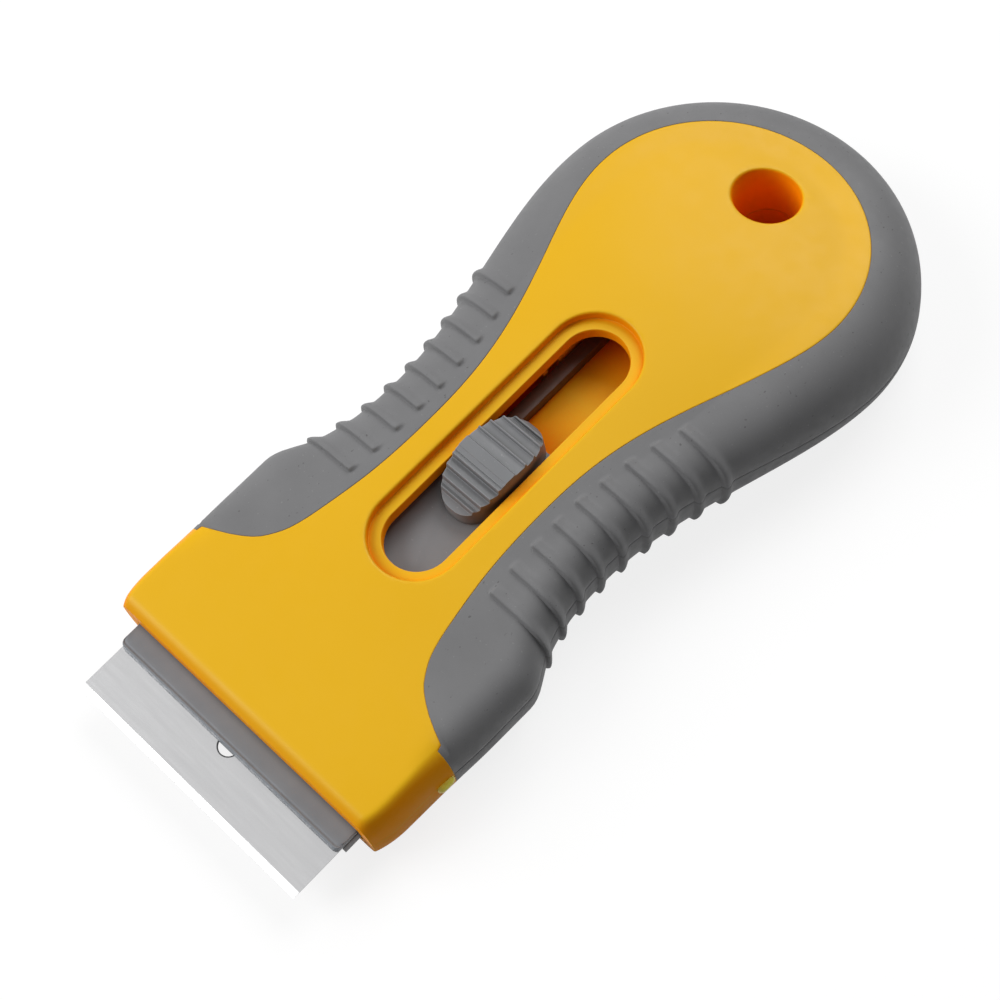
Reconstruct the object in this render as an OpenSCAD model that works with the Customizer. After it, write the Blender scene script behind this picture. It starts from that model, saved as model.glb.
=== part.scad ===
// Pocket razor blade scraper with a sliding blade carrier and a soft grip.
// The tool is drawn with its blade edge at y = 0 and the blade's mid plane at z = 0,
// then tilted so that its flat back lies on the ground and its nose points to -Y.

/* [Blade] */
// Width of the blade along its edge
blade_w = 39; // [30:0.5:41]
// Depth of the blade from edge to back
blade_d = 18.8; // [16:0.2:19.6]
// Thickness of the blade
blade_t = 0.25; // [0.2:0.05:0.4]
// Depth of the ground bevel along the edge
blade_bevel = 1; // [0.6:0.1:1.4]
// Radius of the hole in the middle of the blade
blade_hole_r = 1.4; // [1:0.1:1.6]
// Distance from the edge to the blade's hole
blade_hole_y = 7.7; // [7:0.1:8.4]

/* [Carrier] */
// How far the blade stands out of the carrier's cover
blade_out = 7; // [6:0.2:8]
// Thickness of the tray under the blade
tray_t = 1.7; // [1.2:0.1:2]
// Thickness of the cover over the blade
cover_t = 1.1; // [0.8:0.1:1.4]
// Width of the tongue that carries the button
tongue_w = 15; // [12:0.5:16]
// Running clearance all round the carrier
slide_gap = 0.15; // [0.1:0.05:0.3]
// Travel of the carrier from the photographed place to the blade change place
travel_out = 9; // [6:0.5:9]
// Travel of the carrier from the photographed place back into the handle
travel_in = 15.5; // [12:0.5:15.5]

/* [Button] */
// Width of the thumb button
button_w = 8.5; // [7:0.1:8.6]
// Length of the thumb button
button_len = 15.2; // [12:0.2:15.6]
// Height of the button's top above the blade plane
button_top = 7.8; // [7.2:0.1:9]
// Distance from the blade edge to the button's middle
button_y = 54.3; // [53.5:0.1:55]

/* [Handle] */
// Distance from the blade edge to the mouth of the handle
mouth_y = 10.8; // [9.8:0.1:11.4]
// Thickness of the nose's side wall beside the blade
nose_wall = 2.86; // [2.4:0.02:4]
// How much further out the front lobes of the grip stand than the nose
lobe_more = 0.64; // [0.2:0.02:1]
// Half width of the waist
waist_half = 18.5; // [17.4:0.1:19]
// Radius of the round head
head_r = 26.5; // [24:0.1:29]
// Distance from the blade edge to the middle of the round head
head_y = 96.7; // [92:0.5:97]
// Height of the top face above the blade plane
top_h = 6.4; // [6:0.1:7.2]
// Depth of the flat back below the blade plane at the nose
back_h = 6.4; // [6:0.1:7.5]
// Angle between the blade plane and the flat back, in degrees
back_tilt = 4.9; // [4:0.1:6]
// Wall thickness of the hard shells
wall = 1.8; // [1.4:0.1:2.2]

/* [Grip] */
// Thickness of the soft grip over the shells
grip_t = 1.5; // [1:0.1:1.8]
// Distance from the blade edge to the front end of the grip
grip_y = 23.7; // [23:0.1:25]
// Radius of the yellow panel on the head
panel_r = 19.6; // [17:0.1:21]
// Half width of the yellow panel at the waist
panel_waist = 9.75; // [9:0.05:10.5]
// Height of the ribs over the grip
rib_h = 0.5; // [0.3:0.05:0.7]
// Width of one rib
rib_w = 1.5; // [1.1:0.1:1.8]
// Distance between neighbouring ribs
rib_pitch = 3.9; // [3.4:0.1:4.2]
// Number of ribs on each side
rib_n = 9; // [5:1:9]

/* [Slot and hole] */
// Clearance between the button and the slot on each side
slot_side = 0.35; // [0.25:0.05:0.6]
// Clearance between the button and the slot's ends at the end of its travel
slot_spare = 0.6; // [0.4:0.1:1]
// Width of the sunk ledge round the slot
ledge_w = 1.7; // [1.2:0.1:2]
// Depth of the sunk ledge
ledge_h = 1.5; // [0.8:0.1:2]
// Radius of the hole for hanging the tool up
hang_r = 4.55; // [3.5:0.05:5]
// Distance from the middle of the round head back to the hanging hole
hang_back = 9.5; // [8.6:0.1:10.4]

/* [Hidden] */
$fn = 48;

// One overrun for every cut, and the play between pieces that don't move on each other
over = 1;
play = 0.1;

// The blade's carrier and the bay that it slides in
carrier_w = blade_w + 2 * play;
rear_wall = 4;
carrier_back = blade_d + rear_wall;
bay_w = carrier_w + 4 * slide_gap;
bay_end = carrier_back + travel_in + 2 * slide_gap + play;

// Half widths of the nose and of the front lobes
nose_half = bay_w / 2 + nose_wall;
lobe_half = nose_half + lobe_more;

// Places along the handle
lobe_y = 30;
lobe_short = 2.2;
lobe_end = bay_end - lobe_short;
waist_y = 55;
seam_y = 60;
panel_waist_y = 53;
fall_y = 84;
back_ref = 18;
nose_round = 1.6;
tuck_len = 4.6;
belly_round = 7.9;
cavity_y = 15;
tail_y = head_y + head_r;
hang_y = head_y + hang_back;

// Heights of the mouth's lips, the seam and the crown of the top face
lip_top = 5.45;
lip_low = 5.4;
lip_in = 0.7;
seam_drop = 9;
fall_h = 7;
crown_waist = 0.3;
crown_head = 1.35;

// Radii of the rounded rims above and below the seam
nose_rim = 2;
side_rim = 5.2;
head_rim = 10;
nose_rim_low = 2.2;
side_rim_low = 5.1;
head_rim_low = 12.8;
tail_rim_low = 14.3;
rim_power = 2.5;

// Shares of the way from the lobe to the waist, and of the width lost there
shoulder_shares = [[0, 0], [0.1, 0.09], [0.2, 0.3], [0.34, 0.6], [0.6, 0.88], [0.8, 0.97], [1, 1]];
// Shares of the way from the waist to the grip's front end, and of the panel's flare there
flare_shares = [[0, 0], [0.3, 0.03], [0.58, 0.125], [0.72, 0.2], [0.8, 0.29], [0.86, 0.4], [0.93, 0.64], [1, 1]];
// How late the panel widens towards the head, and how much wider it is on the back of the waist
panel_late_power = 1.31;
back_wider = 4.6;
// Shares of the grip's band where its outer rings lie
band_shares = [0, 0.15, 0.24];

// Curves through a table
function ease(t) = let (u = min(1, max(0, t))) u * u * (3 - 2 * u);
function mix(a, b, t) = a + (b - a) * t;
function seg(tab, x, i = 0) = i >= len(tab) - 2 || x < tab[i + 1][0] ? i : seg(tab, x, i + 1);
function rise(tab, i, j) = (tab[j][1] - tab[i][1]) / (tab[j][0] - tab[i][0]);
function slope(tab, i) =
    i <= 0 ? 0 :
    i >= len(tab) - 1 ? rise(tab, i - 1, i) : rise(tab, i - 1, i + 1);
function curve(tab, x) =
    let (i = seg(tab, x), w = tab[i + 1][0] - tab[i][0], t = min(1, max(0, (x - tab[i][0]) / w)))
    let (a = tab[i][1], b = tab[i + 1][1], p = slope(tab, i) * w, q = slope(tab, i + 1) * w)
    a + t * p + t * t * (3 * (b - a) - 2 * p - q) + t * t * t * (2 * (a - b) + p + q);

// Half width of the handle and of the yellow panel at a place along it
function side_w(y) =
    y < lobe_y ? mix(nose_half, lobe_half, ease((y - back_ref) / (lobe_y - back_ref)))
                 - lip_in * (1 - bend(y, mouth_y, tuck_len)) :
    y < lobe_end ? lobe_half :
    y < waist_y ? mix(lobe_half, waist_half, curve(shoulder_shares, (y - lobe_end) / (waist_y - lobe_end))) :
    mix(waist_half, head_r, ease((y - waist_y) / (head_y - waist_y)));
function panel_flare(y) = curve(flare_shares, (panel_waist_y - y) / (panel_waist_y - grip_y));
function panel_w(y) =
    y < grip_y ? side_w(y) :
    y < panel_waist_y ? min(mix(panel_waist, side_w(grip_y), panel_flare(y)), side_w(y) - grip_t - 2 * play) :
    mix(panel_waist, panel_r, ease(pow((y - panel_waist_y) / (head_y - panel_waist_y), panel_late_power)));

// Heights of the top face, the seam and the back
function arch(y, y0, length) = sqrt(1 - pow(min(1, max(0, (y0 + length - y) / length)), 2));
function bend(y, y0, length) = 1 - pow(max(0, 1 - (y - y0) / length), 2);
function fall(y) = fall_h * pow(max(0, (y - fall_y) / (tail_y - fall_y)), 2);
function top_z(y) = mix(lip_top, top_h, bend(y, mouth_y, nose_round)) - fall(y);
function crown(y) = mix(crown_waist, crown_head, ease((y - waist_y) / (head_y - waist_y)));
function seam_z(y) = -seam_drop * ease((y - seam_y) / (tail_y - seam_y));
function back_z(y) =
    -mix(lip_low, back_h, arch(y, mouth_y, belly_round)) - (y - back_ref) * tan(back_tilt);

// A station is its middle's y, its direction, the handle's half width, the panel's and a rib's height
function station(y, lift = 0) = [y, 0, side_w(y), panel_w(y), lift];
function spoke(phi) = [head_y, phi, head_r, panel_r, 0];
function rim_top(s) =
    s[0] < waist_y ? mix(nose_rim, side_rim, ease((s[0] - back_ref) / (lobe_y - back_ref))) :
    mix(side_rim, head_rim, ease((s[0] - waist_y) / (head_y - waist_y)));
function rim_low(s) =
    s[0] < waist_y ? mix(nose_rim_low, side_rim_low, ease((s[0] - back_ref) / (lobe_y - back_ref))) :
    mix(mix(side_rim_low, head_rim_low, ease((s[0] - waist_y) / (head_y - waist_y))), tail_rim_low, sin(s[1]));
function rim(s, low) = low ? rim_low(s) : rim_top(s);

// A point of the skin: v runs from 0 on the middle line to 1 where the rim starts and 2 at the seam
function level_r(s, inset, low) = s[2] - max(rim(s, low), inset + over);
function rho(s, v, inset, low) =
    let (flat = level_r(s, inset, low))
    v <= 1 ? v * flat : mix(flat, s[2] - inset, pow(sin(90 * (v - 1)), 2 / rim_power));
function face_z(s, r, low) =
    let (y = s[0] + r * sin(s[1])) low ? back_z(y) : top_z(y) - crown(y) * pow(r / s[3], 2);
function skin(s, v, inset = 0, low = false, lift = 0) =
    let (r = rho(s, v, inset, low), side = low ? 1 : -1, flat = level_r(s, inset, low), a = 90 * max(0, v - 1))
    let (seam = seam_z(s[0] + r * sin(s[1])), edge = face_z(s, min(r, flat), low) + side * inset)
    let (z = v <= 1 ? edge : seam + (edge - seam) * pow(cos(a), 2 / rim_power), out = r + lift * sin(a))
    [out * cos(s[1]), s[0] + out * sin(s[1]), z - side * lift * cos(a)];
// The v at which the skin lies at distance r from the middle line
function skin_v(s, r, inset, low) =
    let (flat = level_r(s, inset, low))
    r <= flat ? r / flat : 1 + asin(pow(min(1, (r - flat) / (s[2] - inset - flat)), rim_power / 2)) / 90;

// Places of the stations
nose_steps = 6;
side_steps = 26;
head_steps = 12;
core_steps = 12;
side_spread_power = 1.2;
nose_spread_power = 1.6;
nose_ys = [for (k = [0:nose_steps - 1]) mouth_y + (grip_y - mouth_y) * pow(k / nose_steps, nose_spread_power)];
side_ys = [for (k = [0:side_steps]) grip_y + (head_y - grip_y) * pow(k / side_steps, side_spread_power)];
spokes = [for (k = [1:head_steps - 1]) 90 * k / head_steps];
last_spoke_angle = 87;
core_ys = [for (k = [0:core_steps]) cavity_y + (head_y - cavity_y) * k / core_steps];

// A solid from rings of equal length, closed at both ends by ladders across the ring
function strip(n, i, k) =
    let (a = i * n, b = a + n, m = (k + 1) % n) [[a + k, a + m, b + m], [a + k, b + m, b + k]];
function ladder(n, a, flip) =
    [for (k = [0:n / 2 - 2]) each let (p = a + k, q = a + n - 1 - k)
        flip ? [[p, q, p + 1], [p + 1, q, q - 1]] : [[p, p + 1, q], [p + 1, q - 1, q]]];
module loft(rings) {
    n = len(rings[0]);
    last = (len(rings) - 1) * n;
    faces = [for (i = [0:len(rings) - 2], k = [0:n - 1]) each strip(n, i, k)];
    polyhedron([for (r = rings) each r], concat(ladder(n, 0, true), faces, ladder(n, last, false)), convexity = 8);
}

// One half of the handle as a solid, inset by a wall; reach carries its sides past the seam
face_vs = [2, 1.86, 1.7, 1.5, 1.25, 1, 0.6, 0.25];
core_vs = [2, 1.7, 1.35, 1, 0.4];
function mirrored(p) = [-p[0], p[1], p[2]];
function hoop(s, vs, inset, low, reach) =
    let (right = [for (v = vs) if (v >= 1 || !low) skin(s, v, inset, low)])
    let (past = right[0] + [0, 0, low ? reach : -reach])
    let (half = reach > 0 ? concat([past], right) : right)
    concat(half, [for (k = [len(half) - 1:-1:0]) mirrored(half[k])]);
module half_body(vs, ys, low, inset = 0, reach = 0) {
    stations = concat([for (y = ys) station(y)], [for (phi = concat(spokes, [last_spoke_angle])) spoke(phi)]);
    rings = [for (s = stations) hoop(s, vs, inset, low, reach)];
    if (low) loft(reversed(rings));
    else loft(rings);
}

// The way round the grip, from the right lobe over the head to the left lobe
function round_head(list) =
    let (phis = concat(spokes, [90], [for (k = [len(spokes) - 1:-1:0]) 180 - spokes[k]]))
    concat(list, [for (phi = phis) spoke(phi)],
           [for (k = [len(list) - 1:-1:0]) let (s = list[k]) [s[0], 180, s[2], s[3], s[4]]]);
function back_more(y) = back_wider * (1 - ease(abs(y - waist_y) / (head_y - waist_y)));
function band_edge(s, low) = low ? min(s[3] + back_more(s[0]), s[2] - grip_t - 2 * play) : s[3];
function band_r(s, share, inset, low) = mix(band_edge(s, low), s[2] - inset, share);
function inner_v(s, k, n, inset, low) = mix(skin_v(s, band_edge(s, low), inset, low), 2, k / n);
function outer_v(s, k, low) =
    let (n = len(band_shares) - 1, v0 = skin_v(s, band_r(s, band_shares[n], 0, low), 0, low))
    k <= n ? skin_v(s, band_r(s, band_shares[k], 0, low), 0, low) : mix(v0, 2, (k - n) / (outer_n - n));
inner_n = 4;
outer_n = 6;
function lining(s, inset, low) = [for (k = [0:inner_n]) skin(s, inner_v(s, k, inner_n, inset, low), inset, low)];
function reversed(list) = [for (k = [len(list) - 1:-1:0]) list[k]];

// Ribs: their middles, and the stations that carry them
rib_y = 42.5;
rib_end = rib_y + (rib_n - 1) * rib_pitch;
function rib_rows() =
    [for (k = [0:rib_n - 1], side = [-1, 0, 1])
        station(rib_y + k * rib_pitch + side * rib_w / 2, side == 0 ? rib_h : 0)];
grip_rows = concat([for (y = side_ys) if (y < rib_y - rib_w) station(y)], rib_rows(),
                   [for (y = side_ys) if (y > rib_end + rib_w) station(y)]);

// The soft band: ribbed outside, lined by the shell inside; the ribs start at a point of its ring
rib_start = 2;
rib_start_low = 4;
function grip_ring(s, low) =
    let (first = low ? rib_start_low : rib_start)
    let (out = [for (k = [0:outer_n]) skin(s, outer_v(s, k, low), 0, low, k >= first ? s[4] : 0)])
    concat(lining(s, grip_t, low), reversed(out));
// The space that the soft band fills, reaching out past the skin and the seam
function recess_ring(s, low) =
    let (dz = [0, 0, low ? over : -over], inside = lining(s, grip_t, low), outside = lining(s, -over, low))
    concat(inside, [inside[inner_n] + dz, outside[inner_n] + dz], reversed(outside));
module band(rings, low) {
    if (low) loft(reversed(rings));
    else loft(rings);
}
module grip_recess(low) {
    band([for (s = round_head(grip_rows)) recess_ring(s, low)], low);
}

// Heights of the slide: the tray runs on a deck, under two guide ribs
tray_z = -blade_t / 2 - tray_t;
cover_z = blade_t / 2 + cover_t;
deck_z = tray_z - slide_gap;
guide_z = cover_z + slide_gap;
deck_t = 1.6;
tongue_more = 0.6;
tongue_end = button_y + button_len / 2 + tongue_more;
arm_t = 1.1;
arm_root_x = -3.8;
arm_tip_x = -2.7;
nub_r = 0.9;

// The deck ends before the hanging hole's tube, and the arm's tip stays short of its end
tube_t = 1.8;
tube_gap = 1.35;
arm_short = 2;
tube_r = hang_r + tube_t;
deck_end = hang_y - tube_r - tube_gap;
arm_end = deck_end - arm_short - travel_in;

// The rail with the notches for the detent arm, and the step in the tongue that clears it
rail_x = -5.5;
rail_h = 2.6;
rail_w = 2;
rail_front = arm_end - travel_out - 3 * nub_r;
tongue_step = rail_front - travel_in - 2 * slide_gap;

// Slot and ledge
slot_r = button_w / 2 + slot_side;
slot_len = button_len + travel_in + travel_out + 2 * slot_spare;
slot_mid = button_y + (travel_in - travel_out) / 2;
slot_y1 = slot_mid - slot_len / 2 + slot_r;
slot_y2 = slot_mid + slot_len / 2 - slot_r;
inside_top = top_h - grip_t - wall;
module oblong(y1, y2, r, z1, z2) {
    translate([0, 0, z1]) linear_extrude(z2 - z1) {
        translate([0, y1]) circle(r);
        translate([0, y2]) circle(r);
        translate([-r, y1]) square([2 * r, y2 - y1]);
    }
}

// Screws: two at the waist and two in the head, all driven from the back
screw_r = 1.3;
screw_head_r = 2.4;
screw_head_h = 1.6;
boss_r = 3.1;
sink_h = 3.2;
tip_gap = 0.7;
waist_screw_back = 3;
head_screw_back = 3.5;
head_screw_share = 0.7;
waist_screw = [tongue_w / 2 + 2 * slide_gap + boss_r + 2 * play, waist_y - waist_screw_back];
head_screw = [panel_r * head_screw_share, head_y - head_screw_back];
screw_spots = [for (spot = [waist_screw, head_screw], side = [1, -1]) [side * spot[0], spot[1]]];
function seat_z(spot) = back_z(spot[1]) + sink_h;
function seam_at(spot) = seam_z(spot[1]);
screw_len = inside_top + grip_t - tip_gap - seat_z(waist_screw);

// Everything is drawn in the blade's frame and set down on its back
lift_up = (back_h - back_ref * tan(back_tilt)) * cos(back_tilt);
function laid_y(p) = p[1] * cos(back_tilt) - p[2] * sin(back_tilt);
tail_reach = max([for (v = face_vs, low = [false, true]) laid_y(skin(spoke(last_spoke_angle), v, 0, low))]);
module set_down() {
    translate([0, -tail_reach / 2, lift_up]) rotate([back_tilt, 0, 0]) children();
}

module box_from(low_corner, high_corner) {
    translate(low_corner) cube(high_corner - low_corner);
}

module upper_shell() {
    color("orange") set_down() difference() {
        union() {
            difference() {
                half_body(face_vs, concat(nose_ys, side_ys), false);
                grip_recess(false);
                half_body(core_vs, core_ys, false, grip_t + wall, over);
            }
            for (spot = screw_spots)
                translate([spot[0], spot[1], seam_at(spot) + play / 2])
                    cylinder(r = boss_r, h = top_z(spot[1]) - seam_at(spot) - wall - crown_head);
            difference() {
                hang_tube(seam_z(hang_y) + play / 2, top_h);
                above_tube();
            }
            for (side = [-1, 1]) {
                guide(side * tongue_w * tongue_guide_share, cavity_y - play, deck_end);
                guide(side * carrier_w * bay_guide_share, cavity_y - play, bay_end);
            }
        }
        oblong(slot_y1, slot_y2, slot_r, guide_z - over, top_h + over);
        oblong(slot_y1, slot_y2, slot_r + ledge_w, top_h - ledge_h, top_h + over);
        hang_hole();
        bay();
        for (spot = screw_spots)
            translate([spot[0], spot[1], seam_at(spot) - over])
                cylinder(r = screw_r + play / 2, h = seat_z(spot) + screw_len + play - seam_at(spot) + over);
    }
}
guide_w = 1.2;
tongue_guide_share = 0.42;
bay_guide_share = 0.4;
module guide(x, y1, y2) {
    box_from([x - guide_w / 2, y1, guide_z], [x + guide_w / 2, y2, inside_top + play]);
}
module hang_tube(z1, z2) {
    translate([0, hang_y, z1]) cylinder(r = tube_r, h = z2 - z1);
}
// What is cut off above the tube, on a slope one wall under the head's top face
function tube_top(side) = face_z(spoke(90), hang_back + side * tube_r, false) - wall;
module above_tube() {
    lean = atan((tube_top(-1) - tube_top(1)) / (2 * tube_r));
    translate([0, hang_y - tube_r, tube_top(-1)]) rotate([-lean, 0, 0])
        box_from([-2 * tube_r, -tube_r, 0], [2 * tube_r, 4 * tube_r, 2 * top_h]);
}
module hang_hole() {
    translate([0, hang_y, back_z(tail_y) - over]) cylinder(r = hang_r, h = top_h - back_z(tail_y) + 2 * over);
}
// The space that the wide front of the carrier slides in
module bay() {
    box_from([-bay_w / 2, mouth_y - over, deck_z], [bay_w / 2, bay_end, guide_z]);
}

module lower_shell() {
    color("goldenrod") set_down() difference() {
        union() {
            difference() {
                half_body(face_vs, concat(nose_ys, side_ys), true);
                grip_recess(true);
                half_body(core_vs, core_ys, true, grip_t + wall, over);
            }
            for (spot = screw_spots)
                translate([spot[0], spot[1], seat_z(spot) - sink_h / 2])
                    cylinder(r = boss_r, h = seam_at(spot) - seat_z(spot) + sink_h / 2 - play / 2);
            hang_tube(back_z(hang_y) + wall, seam_z(hang_y) - play / 2);
            deck();
            seam_tab();
        }
        hang_hole();
        bay();
        for (spot = screw_spots) translate([spot[0], spot[1], 0]) {
            back = back_z(spot[1]);
            translate([0, 0, back - over]) cylinder(r = screw_head_r + 2 * play, h = sink_h + over);
            translate([0, 0, back]) cylinder(r = screw_r + play, h = seam_at(spot) - back + over);
        }
        for (y = [arm_end - travel_out, arm_end, arm_end + travel_in])
            translate([rail_x, y - nub_r, deck_z]) cylinder(r = nub_r + slide_gap, h = rail_h + over);
    }
}
// The deck under the carrier, its legs and its rail
leg_t = 1.4;
tunnel_w = tongue_w + 4 * slide_gap;
module deck() {
    for (part = [[bay_w, cavity_y - play, bay_end], [tunnel_w + 2 * leg_t, bay_end - play, deck_end]])
        box_from([-part[0] / 2, part[1], deck_z - deck_t], [part[0] / 2, part[2], deck_z]);
    for (side = [-1, 1]) {
        x = side * (tunnel_w + leg_t) / 2;
        for (y = [cavity_y - play, bay_end, waist_y + over, head_y - 2 * over])
            box_from([x - leg_t / 2, y, back_z(y) + wall],
                     [x + leg_t / 2, y + 2 * leg_t, deck_z - deck_t / 2]);
        box_from([x - leg_t / 2, bay_end, deck_z - play], [x + leg_t / 2, deck_end, -2 * play]);
    }
    box_from([rail_x - rail_w, rail_front, deck_z - play], [rail_x, deck_end, deck_z + rail_h]);
}
// The small tab left at the seam in front of the right lobe
tab_r = 0.75;
tab_len = 2.6;
module seam_tab() {
    translate([side_w(grip_y) - tab_r / 3, grip_y - tab_len, -tab_r]) rotate([-90, 0, 0]) {
        cylinder(r = tab_r, h = tab_len - tab_r);
        sphere(tab_r);
    }
}

module upper_grip() {
    color("dimgray") set_down()
        band([for (s = round_head(grip_rows)) grip_ring(s, false)], false);
}
module lower_grip() {
    color("dimgray") set_down()
        band([for (s = round_head(grip_rows)) grip_ring(s, true)], true);
}

module shell_screws() {
    color("silver") set_down() for (spot = screw_spots)
        translate([spot[0], spot[1], seat_z(spot)]) difference() {
            union() {
                cylinder(r = screw_r, h = screw_len);
                translate([0, 0, -screw_head_h]) cylinder(r = screw_head_r, h = screw_head_h);
            }
            for (turn = [0, 90]) rotate([0, 0, turn])
                box_from([-screw_r, -slit_w / 2, -screw_head_h - over],
                         [screw_r, slit_w / 2, slit_w - screw_head_h]);
        }
}
slit_w = 0.6;

// The blade, ground along its edge, with its middle hole and a notch in each end
notch_r = 1.3;
notch_y = 13;
module blade() {
    color("lightgray") set_down() difference() {
        rotate([90, 0, 90]) translate([0, 0, -blade_w / 2]) linear_extrude(blade_w)
            polygon([[0, 0], [blade_bevel, -blade_t / 2], [blade_d, -blade_t / 2], [blade_d, blade_t / 2],
                     [blade_bevel, blade_t / 2]]);
        translate([0, blade_hole_y, -over]) cylinder(r = blade_hole_r, h = 2 * over);
        for (side = [-1, 1]) translate([side * blade_w / 2, notch_y, -over]) cylinder(r = notch_r, h = 2 * over);
    }
}

// The carrier: a tray under the blade, pegs in its notches, a tongue and a springy arm
corner_cut = 2;
peg_r = notch_r - play;
peg_h = 0.5;
hole_share = 0.4;
tray_front = blade_hole_y + blade_hole_r * hole_share;
module tray_outline(front) {
    w = carrier_w / 2;
    back = carrier_back;
    polygon([[-w, front], [w, front], [w, back - corner_cut], [w - corner_cut, back], [corner_cut - w, back],
             [-w, back - corner_cut]]);
}
cover_more = 2.4;
cover_back = blade_d + cover_more;
stem_w = 4.4;
stem_len = 8;
stem_h = 3;
module blade_carrier() {
    color("gray") set_down() union() {
        translate([0, 0, tray_z]) linear_extrude(tray_t) tray_outline(tray_front);
        for (rear = [[blade_d + play, blade_t / 2], [cover_back + play, cover_z]])
            translate([0, 0, tray_z]) linear_extrude(rear[1] - tray_z) intersection() {
                tray_outline(tray_front);
                translate([-carrier_w, rear[0]]) square([2 * carrier_w, carrier_back]);
            }
        box_from([-tongue_w / 2, cover_back + play, tray_z], [tongue_w / 2, tongue_step, cover_z]);
        box_from([rail_x + 2 * slide_gap, tongue_step - over, tray_z], [tongue_w / 2, tongue_end, cover_z]);
        box_from([-stem_w / 2, button_y - stem_len / 2, tray_z],
                 [stem_w / 2, button_y + stem_len / 2, cover_z + stem_h]);
        pegs();
        arm();
    }
}
module pegs() {
    intersection() {
        for (side = [-1, 1])
            translate([side * blade_w / 2, notch_y, tray_z]) cylinder(r = peg_r, h = tray_t + blade_t + peg_h);
        box_from([-carrier_w / 2, 0, tray_z], [carrier_w / 2, carrier_back, cover_z]);
    }
}
module arm() {
    lean = atan((arm_tip_x - arm_root_x) / (arm_end - tongue_end));
    reach = arm_end - nub_r - tongue_end;
    translate([arm_root_x, tongue_end - over, tray_z]) rotate([0, 0, -lean])
        translate([-arm_t / 2, 0, 0]) cube([arm_t, reach + over, tray_t + blade_t]);
    nub_x = rail_x + slide_gap + nub_r;
    translate([nub_x, arm_end - nub_r, tray_z]) cylinder(r = nub_r, h = tray_t + blade_t);
    box_from([nub_x, arm_end - 2 * nub_r, tray_z], [arm_tip_x, arm_end, tray_z + tray_t + blade_t]);
}

// The cover over the blade, with holes for the tips of the pegs
cover_corner = 0.5;
module carrier_cover() {
    color("gray") set_down() difference() {
        translate([0, 0, blade_t / 2]) linear_extrude(cover_t) polygon([
            [-carrier_w / 2, cover_back], [-carrier_w / 2, blade_out + cover_corner],
            [cover_corner - carrier_w / 2, blade_out], [carrier_w / 2 - cover_corner, blade_out],
            [carrier_w / 2, blade_out + cover_corner], [carrier_w / 2, cover_back]]);
        for (side = [-1, 1]) translate([side * blade_w / 2, notch_y, 0])
            cylinder(r = peg_r + play / 2, h = blade_t / 2 + peg_h + play);
    }
}

// The thumb button: a stepped oval block over the carrier's stem
button_corner = 3.2;
step_n = 3;
step_pitch = 1.5;
step_h = 0.38;
saddle_half = 2.5;
saddle_dip = 0.25;
end_step_share = 0.4;
end_z = button_top - cover_z - (step_n + 1 + end_step_share) * step_h;
module button_outline() {
    w = button_w / 2 - button_corner;
    l = button_len / 2 - button_corner;
    for (x = [-w, w], y = [-l, l]) translate([x, y]) circle(button_corner);
    square([2 * w, button_len], center = true);
    square([button_w, 2 * l], center = true);
}
function tread(k, side) =
    let (y = side * (saddle_half + k * step_pitch), z = button_top - cover_z - k * step_h)
    [[y, z], [y, z - step_h]];
button_profile = concat(
    [[-button_len, 0], [-button_len, end_z]],
    [for (k = [step_n:-1:0]) each reversed(tread(k, -1))],
    [[0, button_top - cover_z - saddle_dip]],
    [for (k = [0:step_n]) each tread(k, 1)],
    [[button_len, end_z], [button_len, 0]]);
module thumb_button() {
    color("gray") set_down() translate([0, button_y, cover_z]) difference() {
        intersection() {
            linear_extrude(button_top) button_outline();
            rotate([90, 0, 90]) translate([0, 0, -button_w]) linear_extrude(2 * button_w) polygon(button_profile);
        }
        box_from([-stem_w / 2 - play, -stem_len / 2 - play, -over],
                 [stem_w / 2 + play, stem_len / 2 + play, stem_h + play]);
    }
}

upper_shell();
lower_shell();
upper_grip();
lower_grip();
shell_screws();
blade_carrier();
carrier_cover();
blade();
thumb_button();
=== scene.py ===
from math import asin, cos, pi, radians, sin, sqrt, tan

import bmesh
import bpy
from mathutils import Matrix, Vector


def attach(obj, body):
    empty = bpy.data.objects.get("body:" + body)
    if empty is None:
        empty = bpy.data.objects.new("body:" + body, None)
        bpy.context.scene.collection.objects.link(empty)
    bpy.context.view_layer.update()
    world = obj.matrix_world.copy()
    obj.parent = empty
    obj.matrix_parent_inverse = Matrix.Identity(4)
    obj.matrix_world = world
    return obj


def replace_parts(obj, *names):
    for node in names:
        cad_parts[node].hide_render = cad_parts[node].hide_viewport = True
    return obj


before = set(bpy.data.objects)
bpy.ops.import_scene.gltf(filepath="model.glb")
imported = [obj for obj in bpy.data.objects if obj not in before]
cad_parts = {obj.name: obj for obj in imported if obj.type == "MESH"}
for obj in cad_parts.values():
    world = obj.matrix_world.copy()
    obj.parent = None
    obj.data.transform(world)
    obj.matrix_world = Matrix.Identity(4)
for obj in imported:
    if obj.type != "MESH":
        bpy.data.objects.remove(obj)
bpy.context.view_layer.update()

# Metres in a millimetre and millimetres in a metre
MM, METRE = 0.001, 1000

# Sizes of the part in millimetres, as drawn: blade edge at y = 0, blade plane at z = 0.
# The handle from the mouth to the round head, and its tilt against the flat back
MOUTH_Y, NOSE_HALF, LOBE_HALF, WAIST_HALF = 10.8, 22.76, 23.4, 18.5
HEAD_R, HEAD_Y, TOP_H, BACK_H, TILT = 26.5, 96.7, 6.4, 6.4, radians(4.9)
TAIL_Y = HEAD_Y + HEAD_R

# The shells' wall, the grips, and the yellow panel between the grips
WALL, GRIP_T, GRIP_Y, PANEL_R, PANEL_WAIST = 1.8, 1.5, 23.7, 19.6, 9.75
RIB_H, RIB_W, RIB_PITCH, RIB_N, RIB_Y = 0.5, 1.5, 3.9, 9, 42.5

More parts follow.
